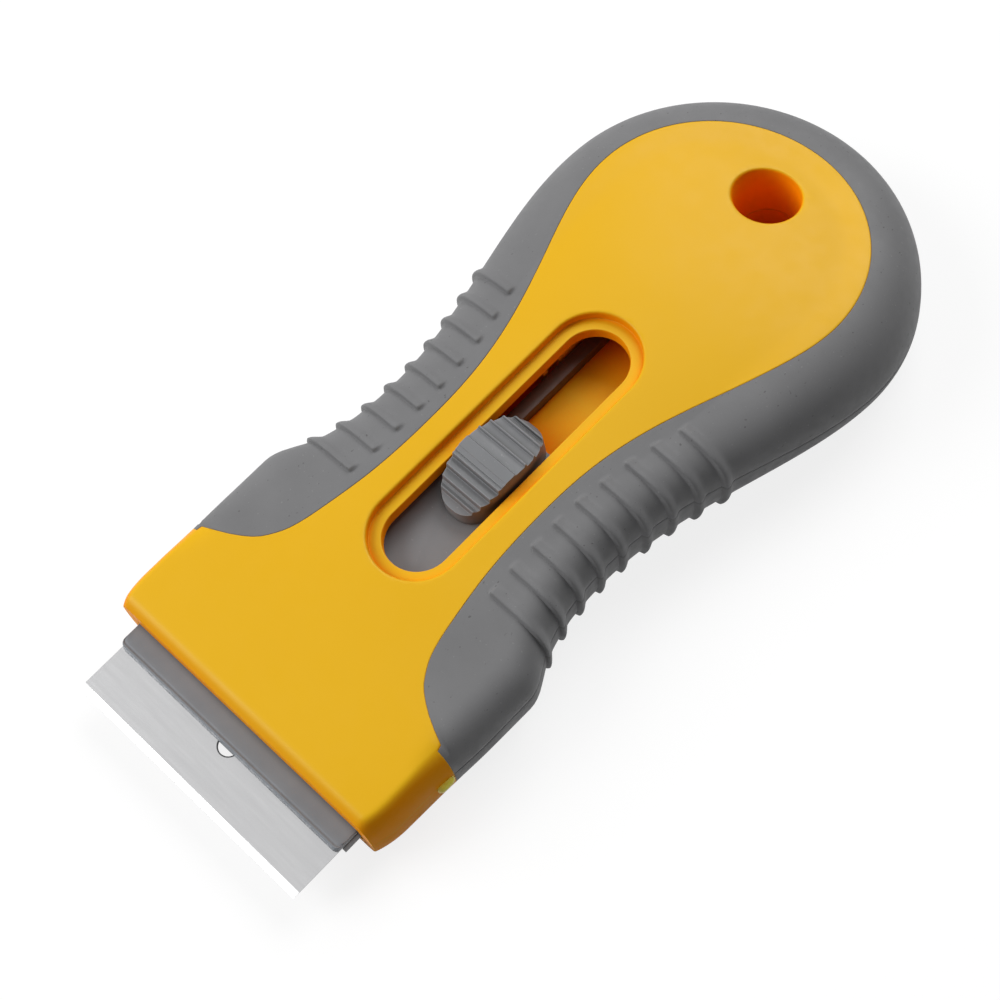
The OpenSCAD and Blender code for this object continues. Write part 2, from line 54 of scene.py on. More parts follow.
# The slot with its sunk ledge, the hanging hole, and the button with its travel
SLOT_R, SLOT_LEN, LEDGE_W, LEDGE_H, HANG_R, HANG_Y = 4.6, 40.9, 1.7, 1.5, 4.55, 106.2
BUTTON_Y, TRAVEL_IN, TRAVEL_OUT = 54.3, 15.5, 9

# The gap between pieces, and how far a solid reaches into the one that it joins or cuts
PLAY, OVER = 0.1, 1.0

# Places along the tool where its lines turn
LOBE_Y, LOBE_END, WAIST_Y, SEAM_Y, PANEL_WAIST_Y, FALL_Y, BACK_REF = 30, 36.5, 55, 60, 53, 84, 18
NOSE_ROUND, TUCK_LEN, BELLY_ROUND, CAVITY_Y = 1.6, 4.6, 7.9, 15

# Heights at the mouth's lips, the drops of the seam and the top, and the top's crown
LIP_TOP, LIP_LOW, LIP_IN, SEAM_DROP, FALL_H = 5.45, 5.4, 0.7, 9, 7
CROWN_WAIST, CROWN_HEAD = 0.3, 1.35

# Widths of the rounded rim on the top and on the back, and the power that shapes its round
NOSE_RIM, SIDE_RIM, HEAD_RIM = 2, 5.2, 10
NOSE_RIM_LOW, SIDE_RIM_LOW, HEAD_RIM_LOW, TAIL_RIM_LOW, RIM_POWER = 2.2, 5.1, 12.8, 14.3, 2.5

# Curves of the side from lobe to waist, and of the panel from waist to nose, as shares
SHOULDER = [[0, 0], [0.1, 0.09], [0.2, 0.3], [0.34, 0.6], [0.6, 0.88], [0.8, 0.97], [1, 1]]
FLARE = [[0, 0], [0.3, 0.03], [0.58, 0.125], [0.72, 0.2], [0.8, 0.29], [0.86, 0.4], [0.93, 0.64], [1, 1]]

# The panel widens late towards the head, and the back's bare band is wider than the panel
PANEL_LATE, BACK_WIDER = 1.31, 4.6

# Where the drawn part stands in the shared frame
HALF_LENGTH, LIFT_UP = 61.741, 4.839


def laid(point):
    """A point in drawn millimetres, set down in the shared frame in metres."""
    x, y, z = point
    along = y * cos(TILT) - z * sin(TILT) - HALF_LENGTH
    up = y * sin(TILT) + z * cos(TILT) + LIFT_UP
    return Vector((x, along, up)) * MM


# The surface of the handle

def ease(t):
    """A smooth step from 0 to 1 as t goes from 0 to 1."""
    u = min(1, max(0, t))
    return u * u * (3 - 2 * u)


def mix(a, b, t):
    """The value that lies at the share t between a and b."""
    return a + (b - a) * t


def curve(table, x):
    """The value at x of a smooth curve through the points of a table."""
    i = 0
    while i < len(table) - 2 and x >= table[i + 1][0]:
        i += 1

    def rise(a, b):
        """Slope of the straight line between two of the points."""
        return (table[b][1] - table[a][1]) / (table[b][0] - table[a][0])

    def slope(k):
        """Slope of the curve at a point; it is level at the first one."""
        if k <= 0:
            return 0
        return rise(k - 1, k) if k >= len(table) - 1 else rise(k - 1, k + 1)

    w = table[i + 1][0] - table[i][0]
    t = min(1, max(0, (x - table[i][0]) / w))
    a, b, p, q = table[i][1], table[i + 1][1], slope(i) * w, slope(i + 1) * w
    return a + t * p + t * t * (3 * (b - a) - 2 * p - q) + t ** 3 * (2 * (a - b) + p + q)


def side_w(y):
    """Half width of the handle."""
    if y < LOBE_Y:
        tuck = LIP_IN * (1 - bend(y, MOUTH_Y, TUCK_LEN))
        return mix(NOSE_HALF, LOBE_HALF, ease((y - BACK_REF) / (LOBE_Y - BACK_REF))) - tuck
    if y < LOBE_END:
        return LOBE_HALF
    if y < WAIST_Y:
        return mix(LOBE_HALF, WAIST_HALF, curve(SHOULDER, (y - LOBE_END) / (WAIST_Y - LOBE_END)))
    return mix(WAIST_HALF, HEAD_R, ease((y - WAIST_Y) / (HEAD_Y - WAIST_Y)))


def panel_w(y):
    """Half width of the yellow panel on top, which takes up the whole nose in front of the grips."""
    if y < GRIP_Y:
        return side_w(y)
    if y < PANEL_WAIST_Y:
        flare = curve(FLARE, (PANEL_WAIST_Y - y) / (PANEL_WAIST_Y - GRIP_Y))
        return min(mix(PANEL_WAIST, side_w(GRIP_Y), flare), side_w(y) - GRIP_T - 2 * PLAY)
    late = ((y - PANEL_WAIST_Y) / (HEAD_Y - PANEL_WAIST_Y)) ** PANEL_LATE
    return mix(PANEL_WAIST, PANEL_R, ease(late))


def arch(y, y0, length):
    """A quarter round that rises from 0 at y0 to 1 at the end of the length."""
    return sqrt(max(0, 1 - min(1, max(0, (y0 + length - y) / length)) ** 2))


def bend(y, y0, length):
    """A parabola that rises from 0 at y0 to 1 at the end of the length."""
    return 1 - max(0, 1 - (y - y0) / length) ** 2


def fall(y):
    """How far the top has dropped towards the tail."""
    return FALL_H * max(0, (y - FALL_Y) / (TAIL_Y - FALL_Y)) ** 2


def top_z(y):
    """Height of the top on the middle line."""
    return mix(LIP_TOP, TOP_H, bend(y, MOUTH_Y, NOSE_ROUND)) - fall(y)


def crown(y):
    """How far the top lies lower at the panel's edge than on the middle line."""
    return mix(CROWN_WAIST, CROWN_HEAD, ease((y - WAIST_Y) / (HEAD_Y - WAIST_Y)))


def seam_z(y):
    """Height of the seam between the shells."""
    return -SEAM_DROP * ease((y - SEAM_Y) / (TAIL_Y - SEAM_Y))


def back_z(y):
    """Height of the back, which lies level in the shared frame but for its round front end."""
    return -mix(LIP_LOW, BACK_H, arch(y, MOUTH_Y, BELLY_ROUND)) - (y - BACK_REF) * tan(TILT)


class Station:
    """A line from the middle of the handle out to its edge, at a place along it or round the head."""

    def __init__(self, y, phi=0.0):
        self.y, self.phi = y, phi
        self.half = side_w(y) if phi in (0, 180) else HEAD_R
        self.panel = panel_w(y) if phi in (0, 180) else PANEL_R
        self.cos, self.sin = cos(radians(phi)), sin(radians(phi))

    def rim(self, low):
        """Width of the rounded rim."""
        front = ease((self.y - BACK_REF) / (LOBE_Y - BACK_REF))
        rear = ease((self.y - WAIST_Y) / (HEAD_Y - WAIST_Y))
        if not low:
            return mix(NOSE_RIM, SIDE_RIM, front) if self.y < WAIST_Y else mix(SIDE_RIM, HEAD_RIM, rear)
        if self.y < WAIST_Y:
            return mix(NOSE_RIM_LOW, SIDE_RIM_LOW, front)
        return mix(mix(SIDE_RIM_LOW, HEAD_RIM_LOW, rear), TAIL_RIM_LOW, self.sin)

    def level(self, inset, low):
        """Distance from the middle line to where the rim of a skin set in by the inset starts."""
        return self.half - max(self.rim(low), inset + OVER)

    def face(self, r, low):
        """Height of the face at distance r from the middle line."""
        y = self.y + r * self.sin
        return back_z(y) if low else top_z(y) - crown(y) * (r / self.panel) ** 2

    def skin(self, v, inset, low, lift=0.0):
        """A point of the skin: v is 0 on the middle line, 1 where the rim starts and 2 at the seam."""
        flat, side = self.level(inset, low), 1 if low else -1
        a = radians(90 * max(0, v - 1))
        r = v * flat if v <= 1 else mix(flat, self.half - inset, sin(a) ** (2 / RIM_POWER))
        seam = seam_z(self.y + r * self.sin)
        edge = self.face(min(r, flat), low) + side * inset
        z = edge if v <= 1 else seam + (edge - seam) * max(0, cos(a)) ** (2 / RIM_POWER)
        out = r + lift * sin(a)
        return Vector((out * self.cos, self.y + out * self.sin, z - side * lift * cos(a)))

    def at(self, r, inset, low):
        """The v at which the skin lies at distance r from the middle line."""
        flat = self.level(inset, low)
        if r <= flat:
            return r / flat
        share = min(1, (r - flat) / (self.half - inset - flat))
        return 1 + asin(share ** (RIM_POWER / 2)) * 2 / pi

    def band_edge(self, low):
        """Distance from the middle line to the grip's inner edge."""
        if not low:
            return self.panel
        more = BACK_WIDER * (1 - ease(abs(self.y - WAIST_Y) / (HEAD_Y - WAIST_Y)))
        return min(self.panel + more, self.half - GRIP_T - 2 * PLAY)


# Meshes

# Points nearer than this, in millimetres, are joined in a loft, in a cut solid and in a finished mesh.
# The last length is that of the edges that are taken out of a finished mesh.
LOFT_JOIN, CUT_JOIN, MEND_JOIN, MEND_EDGE = 1e-5, 1e-4, 0.0015, 0.0005
MEND_ROUNDS, CORNER_STEPS = 3, 2


def mend(bm):
    """Take stray slivers off a cut mesh and close the holes that they leave."""
    bmesh.ops.remove_doubles(bm, verts=bm.verts, dist=MEND_JOIN)
    bmesh.ops.dissolve_degenerate(bm, edges=bm.edges, dist=MEND_EDGE)
    for _ in range(MEND_ROUNDS):
        stray = [face for face in bm.faces if sum(edge.is_boundary for edge in face.edges) > 1]
        bmesh.ops.delete(bm, geom=stray, context="FACES")
    rims = [edge for edge in bm.edges if edge.is_boundary]
    if rims:
        bmesh.ops.holes_fill(bm, edges=rims, sides=0)


def finish_mesh(name, bm, material, body, sharp=34):
    """A new piece from a bmesh in drawn millimetres, laid down in the shared frame.
    Edges that turn by more than the angle sharp, in degrees, stay crisp."""
    mend(bm)
    for vert in bm.verts:
        vert.co = laid(vert.co)
    bmesh.ops.recalc_face_normals(bm, faces=bm.faces)
    mesh = bpy.data.meshes.new(name)
    bm.to_mesh(mesh)
    bm.free()
    piece = bpy.data.objects.new(name, mesh)
    bpy.context.scene.collection.objects.link(piece)
    mesh.materials.append(material)
    mesh.shade_smooth()
    mesh.set_sharp_from_angle(angle=radians(sharp))
    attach(piece, body)
    return piece


def loft(rings, caps):
    """A mesh through closed rings of equal length, with a face over each end that caps names.
    Points that meet are joined."""
    bm = bmesh.new()
    rows = [[bm.verts.new(point) for point in ring] for ring in rings]
    n = len(rings[0])
    for a, b in zip(rows, rows[1:]):
        for k in range(n):
            m = (k + 1) % n
            bm.faces.new((a[k], a[m], b[m], b[k]))
    if caps[0]:
        bm.faces.new(rows[0])
    if caps[1]:
        bm.faces.new(rows[-1])
    bmesh.ops.remove_doubles(bm, verts=bm.verts, dist=LOFT_JOIN)
    bmesh.ops.dissolve_degenerate(bm, edges=bm.edges, dist=LOFT_JOIN)
    return bm


def rounded(before, corner, after, radius):
    """Points that round off a corner between two straight pieces."""
    a = corner + (before - corner).normalized() * min(radius, (before - corner).length * 0.5)
    b = corner + (after - corner).normalized() * min(radius, (after - corner).length * 0.5)
    out = []
    for k in range(CORNER_STEPS + 1):
        t = k / CORNER_STEPS
        out.append(a * (1 - t) ** 2 + corner * 2 * t * (1 - t) + b * t * t)
    return out


def spaced(a, b, n, power=1.0):
    """Values from a to b in n steps; a power above 1 puts them closer together near a."""
    return [a + (b - a) * (k / n) ** power for k in range(n + 1)]


# Materials

# Samples of the nodes that look round a point: for rounded edges, for edges with a painted highlight and
# for painted shade
ROUND_SAMPLES, EDGE_SAMPLES, SHADE_SAMPLES = 6, 4, 8

# The likeness of a rounded and a plain normal at which an edge counts in full
EDGE_LIKENESS = 1 - 1 / 6

# Ends of the span in which most values of a noise lie
NOISE_LOW, NOISE_HIGH = 0.3, 0.7

# Distances from the blade's edge, in millimetres: where the painted shade on the arm starts, the ground
# edge, and the hole
SHADED_ARM_Y, BEVEL_Y, HOLE_Y = 61.7, 1.0, 7.7
# Widths of the fades, the hole's radius, and the width of the painted shade round the hole, in millimetres
SHADED_ARM_FADE, BEVEL_FADE, HOLE_R, HOLE_SHADE_WIDTH = 0.3, 0.05, 1.5, 0.12


def linear(r, g, b):
    """A colour given as it shows on an sRGB screen, 0 to 255, as scene values."""
    out = []
    for c in (r, g, b):
        c = c / 255
        out.append(c / 12.92 if c <= 0.04045 else ((c + 0.055) / 1.055) ** 2.4)
    return (*out, 1.0)


class Material:
    """A principled material whose colour, roughness and bump come from noise in real sizes."""

    def __init__(self, name, **sockets):
        self.mat = bpy.data.materials.new(name + "_finish")
        self.mat.use_nodes = True
        self.tree = self.mat.node_tree
        self.shader = self.tree.nodes["Principled BSDF"]
        self.place = self.add("ShaderNodeTexCoord").outputs["Object"]
        for key, value in sockets.items():
            self.shader.inputs[key.replace("_", " ")].default_value = value

    def add(self, kind, links=(), **values):
        """A new node; links gives its sockets a source or a plain value, and values are its settings."""
        node = self.tree.nodes.new(kind)
        for key, value in values.items():
            setattr(node, key, value)
        for socket, source in dict(links).items():
            if isinstance(source, bpy.types.NodeSocket):
                self.tree.links.new(source, node.inputs[socket])
            else:
                node.inputs[socket].default_value = source
        return node

    def link(self, socket, source):
        """Feed a socket of the shader."""
        self.tree.links.new(source, self.shader.inputs[socket])

    def stretched(self, x, y, z):
        """The place, scaled on each axis; a noise is drawn out along an axis of small scale."""
        return self.add("ShaderNodeMapping", {"Vector": self.place, "Scale": (x, y, z)}).outputs["Vector"]

    def along(self):
        """The place along the tool, in metres."""
        return self.add("ShaderNodeSeparateXYZ", {0: self.place}).outputs["Y"]

    def faces_up(self):
        """1 on faces that look up, 0 on upright walls."""
        normal = self.add("ShaderNodeTexCoord").outputs["Normal"]
        return self.add("ShaderNodeSeparateXYZ", {0: normal}).outputs["Z"]

    def open_share(self, reach_mm):
        """1 where nothing is near, less between walls that are nearer than the reach."""
        links = {"Distance": reach_mm * MM}
        return self.add("ShaderNodeAmbientOcclusion", links, samples=SHADE_SAMPLES).outputs["AO"]

    def noise(self, size_mm, detail, vector=None):
        """Noise with spots of about the size."""
        links = {"Vector": vector or self.place, "Scale": METRE / size_mm, "Detail": detail}
        return self.add("ShaderNodeTexNoise", links).outputs["Fac"]

    def ramp(self, source, stops):
        """Colours by the source; the first two stops are the outer ones, which a new ramp has."""
        node = self.add("ShaderNodeValToRGB", {"Fac": source})
        ramp = node.color_ramp
        for k, (place, colour) in enumerate(stops):
            stop = ramp.elements[k] if k < 2 else ramp.elements.new(place)
            stop.position, stop.color = place, colour
        return node.outputs["Color"]

    def between(self, source, low, high, start=NOISE_LOW, end=NOISE_HIGH):
        """A value that goes from low to high as the source goes from start to end."""
        links = {"Value": source, "From Min": start, "From Max": end, "To Min": low, "To Max": high}
        return self.add("ShaderNodeMapRange", links).outputs["Result"]

    def step(self, source, start, end):
        """0 up to the start and 1 from the end."""
        return self.between(source, 0.0, 1.0, start, end)

    def blend(self, share, a, b):
        """A colour that goes from a to b with the share."""
        node = self.add("ShaderNodeMix", data_type="RGBA")
        for key, source in (("Factor_Float", share), ("A_Color", a), ("B_Color", b)):
            socket = next(s for s in node.inputs if s.identifier == key)
            if isinstance(source, bpy.types.NodeSocket):
                self.tree.links.new(source, socket)
            else:
                socket.default_value = source
        return next(s for s in node.outputs if s.identifier == "Result_Color")

    def round_normal(self, radius_mm, samples):
        """The normal as it is with edges rounded by the radius."""
        return self.add("ShaderNodeBevel", {"Radius": radius_mm * MM}, samples=samples).outputs["Normal"]

    def relief(self, layers, edge_mm):
        """Fine bump from (height source, depth in mm) layers, over edges rounded by a radius."""
        normal = self.round_normal(edge_mm, ROUND_SAMPLES)
        for source, depth in layers:
            links = {"Height": source, "Distance": depth * MM, "Strength": 1.0, "Normal": normal}
            normal = self.add("ShaderNodeBump", links).outputs["Normal"]
        self.link("Normal", normal)

    def edges(self, radius_mm):
        """1 on edges sharper than the radius, 0 on plain faces."""
        links = {0: self.round_normal(radius_mm, EDGE_SAMPLES)}
        links[1] = self.add("ShaderNodeNewGeometry").outputs["Normal"]
        likeness = self.add("ShaderNodeVectorMath", links, operation="DOT_PRODUCT").outputs["Value"]
        return self.between(likeness, 1.0, 0.0, EDGE_LIKENESS, 1.0)


def place_of(y):
    """Metres along the tool for a distance from the blade's edge in the blade's plane."""
    return laid((0, y, 0)).y


def yellow_plastic():
    """Saturated plastic, painted deeper orange where walls close in and on upright walls, standing in for
    the shade and the light caught between its walls; its edges carry a painted highlight.
    """
    m = Material("yellow_body")
    # Painted shade: the colour turns deep orange-red where nearby walls close in, in place of the shade
    # and bounced light there
    open_share = m.open_share(9)
    colour = m.ramp(open_share, [(0.12, linear(255, 38, 0)), (0.75, linear(232, 178, 14)),
                                 (0.36, linear(246, 92, 0)), (0.55, linear(236, 150, 4))])
    # Painted light: upright walls are painted a more saturated orange, standing in for light that passes
    # through and bounces in the plastic
    wall = m.between(m.faces_up(), 0.88, 0.0, 0.4, 0.95)
    colour = m.blend(wall, colour, linear(255, 148, 0))
    flow = m.between(m.noise(16, 3.0), 0.0, 0.3)
    colour = m.blend(flow, colour, linear(236, 184, 30))
    # Painted highlight: edges are paler, as light catches their round
    m.link("Base Color", m.blend(m.edges(0.25), colour, linear(236, 184, 52)))
    # Painted shade in the reflections: the specular level falls to nothing where walls close in, and is
    # low on upright walls
    shine = m.between(wall, 0.23, 0.02, 0.0, 0.8)
    m.link("Specular IOR Level", m.between(open_share, 0.0, shine, 0.4, 0.85))
    m.link("Roughness", m.between(m.noise(2.2, 3.0), 0.38, 0.47))
    m.relief([(m.noise(1.4, 2.0), 0.004), (m.noise(0.16, 2.0), 0.003)], 0.14)
    return m.mat


def clear_flash():
    """The thin, paler flash of the same plastic."""
    m = Material("yellow_body")
    colour = m.ramp(m.noise(0.8, 2.0), [(0.3, linear(248, 226, 8)), (0.7, linear(255, 242, 60))])
    m.link("Base Color", colour)
    m.link("Roughness", m.between(m.noise(0.6, 2.0), 0.2, 0.32))
    m.relief([(m.noise(0.5, 2.0), 0.01)], 0.1)
    return m.mat


def soft_rubber():
    """Matt grey rubber with a few pale and dark specks."""
    m = Material("grey_grip", Specular_IOR_Level=0.25)
    patch = m.noise(9, 3.0)
    colour = m.ramp(patch, [(0.3, linear(116, 116, 117)), (0.7, linear(122, 122, 123))])
    specks = m.step(m.noise(0.4, 1.0), 0.73, 0.79)
    colour = m.blend(specks, colour, linear(132, 132, 132))
    dark = m.step(m.noise(0.55, 1.0, m.stretched(1.3, 0.9, 1.1)), 0.73, 0.79)
    colour = m.blend(dark, colour, linear(94, 94, 94))
    m.link("Base Color", colour)
    m.link("Roughness", m.between(m.noise(1.2, 4.0), 0.52, 0.64))
    m.relief([(m.noise(0.3, 3.0), 0.008), (m.noise(3.5, 2.0), 0.015)], 0.1)
    return m.mat


def grey_plastic(tone, cool=0):
    """Hard grey plastic, painted darker in its grooves as shade and paler on its edges as a highlight; the
    arm behind the tongue is painted brown for the shade it lies in. The tone is the grey's level on the
    screen, and cool makes it bluer."""
    m = Material("grey_slide", Specular_IOR_Level=0.3)
    patch = m.noise(7, 3.0)
    colour = m.ramp(patch, [(0.3, linear(tone - 3 - cool, tone - 2, tone + cool)),
                             (0.7, linear(tone + 4 - cool, tone + 5, tone + 7 + cool))])
    specks = m.step(m.noise(0.35, 1.0), 0.72, 0.78)
    colour = m.blend(specks, colour, linear(140, 140, 140))
    # Painted shade: the arm behind the tongue lies in deep shade and is painted dark brown from here back
    painted_arm_shade = m.step(m.along(), place_of(SHADED_ARM_Y - SHADED_ARM_FADE), place_of(SHADED_ARM_Y + SHADED_ARM_FADE))
    # Painted shade: grooves and corners are painted darker where walls close in
    painted_groove_shade = m.between(m.open_share(1.3), 0.75, 0.0, 0.45, 0.92)
    colour = m.blend(painted_groove_shade, colour, linear(62, 62, 62))
    # Painted highlight: edges are paler
    colour = m.blend(m.edges(0.14), colour, linear(158, 159, 161))
    m.link("Base Color", m.blend(painted_arm_shade, colour, linear(84, 58, 44)))
    m.link("Roughness", m.between(m.noise(1.0, 4.0), 0.42, 0.54))
    m.relief([(m.noise(0.25, 3.0), 0.006)], 0.08)
    return m.mat


def blade_steel():
    """Rolled steel with a bright ground edge, and painted shade in a thin dark ring round the hole."""
    m = Material("blade_steel", Metallic=1.0)
    rolled = m.noise(0.8, 4.0, m.stretched(0.05, 1.0, 1.0))
    colour = m.ramp(rolled, [(0.35, linear(187, 187, 188)), (0.65, linear(191, 191, 192))])
    stain = m.between(m.noise(9, 4.0), 0.0, 0.35, 0.5, 0.75)
    colour = m.blend(stain, colour, linear(182, 182, 184))
    start, end = place_of(BEVEL_Y - BEVEL_FADE), place_of(BEVEL_Y + BEVEL_FADE)
    ground = m.between(m.along(), 1.0, 0.0, start, end)
    colour = m.blend(ground, colour, linear(230, 230, 231))
    # Painted shade: a thin dark ring round the hole stands for the hole's wall in shadow
    links = {0: m.place, 1: laid((0, HOLE_Y, 0))}
    off_hole = m.add("ShaderNodeVectorMath", links, operation="DISTANCE").outputs["Value"]
    rim = m.between(off_hole, 1.0, 0.0, HOLE_R * MM, (HOLE_R + HOLE_SHADE_WIDTH) * MM)
    m.link("Base Color", m.blend(rim, colour, linear(40, 40, 42)))
    m.link("Roughness", m.between(m.noise(0.3, 3.0, m.stretched(0.06, 1.0, 1.0)), 0.21, 0.25))
    m.relief([(m.noise(0.22, 2.0, m.stretched(0.04, 1.0, 1.0)), 0.0005)], 0.03)
    return m.mat


def screw_steel():
    """Plated steel, with a painted highlight that makes its edges brighter."""
    m = Material("screw_steel", Metallic=1.0)
    colour = m.ramp(m.noise(0.9, 4.0), [(0.3, linear(168, 170, 174)), (0.7, linear(190, 191, 194))])
    # Painted highlight: edges are brighter
    m.link("Base Color", m.blend(m.edges(0.12), colour, linear(215, 216, 218)))
    m.link("Roughness", m.between(m.noise(0.4, 3.0), 0.28, 0.42))
    m.relief([(m.noise(0.15, 2.0), 0.003)], 0.08)
    return m.mat


YELLOW = yellow_plastic()
RUBBER = soft_rubber()
CLEAR = clear_flash()
# The cover's copy is painted paler, to make up for the shade the nose throws on it, and bluer, to cancel
# the yellow light thrown on it
GREY, COVER_GREY_PAINTED_LIGHT = grey_plastic(122), grey_plastic(137, 4)


def dress(node, material):
    """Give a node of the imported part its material."""
    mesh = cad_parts[node].data
    mesh.materials.clear()
    mesh.materials.append(material)
    for face in mesh.polygons:
        face.material_index = 0


dress("blade", blade_steel())
dress("shell_screws", screw_steel())


# The two shells

# Steps of a section across the face and down the side, and of the hollow inside
ACROSS, DOWN = 16, 12
CORE_VS = (0, 0.3, 0.6, 0.9, 1, 1.2, 1.4, 1.6, 1.8, 1.92, 2)

# The share of the face that is plain, and the radii of the panel's and the grips' edges
FACE_SHARE, PANEL_EDGE, GRIP_EDGE, SEAM_EDGE = 0.985, 0.18, 0.22, 0.16

# Stations along the nose, closer together at the mouth, then along the side and round the head
NOSE_YS = spaced(MOUTH_Y, GRIP_Y, 26, 1.7)
SIDE_YS = spaced(GRIP_Y, HEAD_Y, 92)
HEAD_PHIS = spaced(0, 90, 36)[1:]


def mirrored(points):
    """The same points on the other side of the middle plane."""
    return [Vector((-p.x, p.y, p.z)) for p in points]


def shell_half(s, low, recessed):
    """Points from the middle line over the face and down to the seam, by the skin or the grip's recess."""
    edge = min(s.band_edge(low), s.half - GRIP_T - 2 * PLAY)
    v_edge = s.at(edge, 0, low)
    face = [s.skin(s.at(edge * share, 0, low), 0, low) for share in spaced(0, FACE_SHARE, ACROSS)]
    if not recessed:
        return face + [s.skin(v, 0, low) for v in spaced(v_edge, 2, DOWN + 3)]
    foot_v = s.at(edge, GRIP_T, low)
    corner, foot = s.skin(v_edge, 0, low), s.skin(foot_v, GRIP_T, low)
    lining = [s.skin(v, GRIP_T, low) for v in spaced(foot_v, 2, DOWN)[1:]]
    return face + rounded(face[-1], corner, foot, PANEL_EDGE) + [foot] + lining


def shell_solid(low):
    """The closed outer form of one shell, with the recess that the grip lies in."""
    rings = []
    for y in NOSE_YS:
        half = shell_half(Station(y), low, False)
        rings.append(mirrored(half[::-1]) + half)
    for s in [Station(y) for y in SIDE_YS] + [Station(HEAD_Y, phi) for phi in HEAD_PHIS]:
        half = shell_half(s, low, True)
        rings.append(mirrored(half[::-1]) + half)
    return loft(rings, caps=(True, False))


def core_solid(low):
    """The hollow inside one shell, which reaches past the seam."""
    inset, past = GRIP_T + WALL, Vector((0, 0, OVER if low else -OVER))
    stations = [Station(y) for y in spaced(CAVITY_Y, HEAD_Y, 40)]
    stations += [Station(HEAD_Y, phi) for phi in spaced(0, 90, 18)[1:]]
    rings = []
    for s in stations:
        half = [s.skin(v, inset, low) for v in CORE_VS]
        half.append(half[-1] + past)
        rings.append(mirrored(half[::-1]) + half)
    return loft(rings, caps=(True, False))


def block(low_corner, high_corner):
    """A box from its low corner to its high corner."""
    bm = bmesh.new()
    bmesh.ops.create_cube(bm, size=1)
    a, b = Vector(low_corner), Vector(high_corner)
    for vert in bm.verts:
        vert.co = Vector([a[i] + (vert.co[i] + 0.5) * (b[i] - a[i]) for i in range(3)])
    return bm


def swept(profile, y1, y2, x=0.0, steps=24):
    """A closed solid round one or two middles in line; each (radius, height) pair makes a ring.
    A height may be a function of x and y."""
    rings = []
    for r, z in profile:
        ring = []
        for middle, start in ((y2, 0), (y1, pi)):
            for k in range(steps + 1 if y1 != y2 else steps):
                t = start + pi * k / steps
                px, py = x + r * cos(t), middle + r * sin(t)
                ring.append(Vector((px, py, z(px, py) if callable(z) else z)))
        rings.append(ring)
    return loft(rings, caps=(True, True))


def rod(x, y, r, z1, z2):
    """An upright round rod."""
    return swept([(r, z1), (r, z2)], y, y, x)


def together(*parts):
    """One bmesh from several solids that don't touch."""
    out = bmesh.new()
    for part in parts:
        mesh = bpy.data.meshes.new("part")
        part.to_mesh(mesh)
        part.free()
        out.from_mesh(mesh)
        bpy.data.meshes.remove(mesh)
    return out


def face_at(x, y):
    """Height of the top face over a point near the middle line."""
    if y > HEAD_Y:
        r = sqrt(x * x + (y - HEAD_Y) ** 2)
        return top_z(y) - crown(y) * (r / PANEL_R) ** 2
    return top_z(y) - crown(y) * (x / panel_w(y)) ** 2


def solid(name, bm):
    """A scratch object in drawn millimetres, in triangles with outward normals."""
    bmesh.ops.triangulate(bm, faces=bm.faces)
    bmesh.ops.recalc_face_normals(bm, faces=bm.faces)
    mesh = bpy.data.meshes.new(name)
    bm.to_mesh(mesh)
    bm.free()
    piece = bpy.data.objects.new(name, mesh)
    bpy.context.scene.collection.objects.link(piece)
    return piece


def carve(target, tools):
    """Join solids to the target or cut them from it, in order, and return its bmesh."""
    for kind, bm in tools:
        cutter = solid("tool", bm)
        modifier = target.modifiers.new("carve", "BOOLEAN")
        modifier.operation, modifier.solver, modifier.object = kind, "EXACT", cutter
        shape = target.evaluated_get(bpy.context.evaluated_depsgraph_get())
        mesh = bpy.data.meshes.new_from_object(shape)
        target.modifiers.clear()
        old, target.data = target.data, mesh
        bpy.data.meshes.remove(old)
        bpy.data.objects.remove(cutter)
    out = bmesh.new()
    out.from_mesh(target.data)
    bpy.data.objects.remove(target)
    bmesh.ops.remove_doubles(out, verts=out.verts, dist=CUT_JOIN)
    return out


# The bay that the carrier slides in, and the deck, guides and tunnel under and over it
CARRIER_W, CARRIER_BACK, SLIDE_GAP = 39.2, 22.8, 0.15
BAY_W = CARRIER_W + 4 * SLIDE_GAP
BAY_END = CARRIER_BACK + TRAVEL_IN + 2 * SLIDE_GAP + PLAY
DECK_Z, GUIDE_Z, DECK_T, DECK_END, TUNNEL_W, LEG_T = -1.975, 1.375, 1.6, 98.5, 15.6, 1.4
GUIDES = ((TUNNEL_W * 0.404, DECK_END), (CARRIER_W * 0.4, BAY_END))
GUIDE_HALF, INSIDE_TOP = 0.6, 3.1

# The rail, its notches, and the end of the carrier's arm with the nub that clicks into them
RAIL_FRONT, RAIL_LEFT, RAIL_RIGHT, RAIL_H = 69.3, -7.5, -5.5, 2.6
ARM_END, NUB_R, NOTCH_R, NOTCH_H = 81, 0.9, 1.05, 3.6

# Middles of the slot's two round ends
SLOT_MID = BUTTON_Y + (TRAVEL_IN - TRAVEL_OUT) / 2
SLOT_Y1, SLOT_Y2 = SLOT_MID - SLOT_LEN / 2 + SLOT_R, SLOT_MID + SLOT_LEN / 2 - SLOT_R

# The screws with their bosses and sunk seats, and the tube round the hanging hole
SCREWS = [(side * x, y) for x, y in ((11.1, 52), (13.72, 93.2)) for side in (1, -1)]
SCREW_R, BOSS_R, SINK_R, SINK_H, SCREW_LEN = 1.3, 3.1, 2.6, 3.2, 10.01
TUBE_R, BELOW_ALL, ABOVE_ALL = 6.35, -30, 9

# Sections of rounded edges, outward and up: at the top face, and at the ledge round the slot
TOP_EDGE = ((0, -0.45), (0.03, -0.28), (0.11, -0.13), (0.24, -0.035), (0.42, 0.012), (1.2, 0.6), (1.6, 3))
SLOT_EDGE = ((0, -0.25), (0.03, -0.1), (0.12, 0.01), (0.5, 0.5))


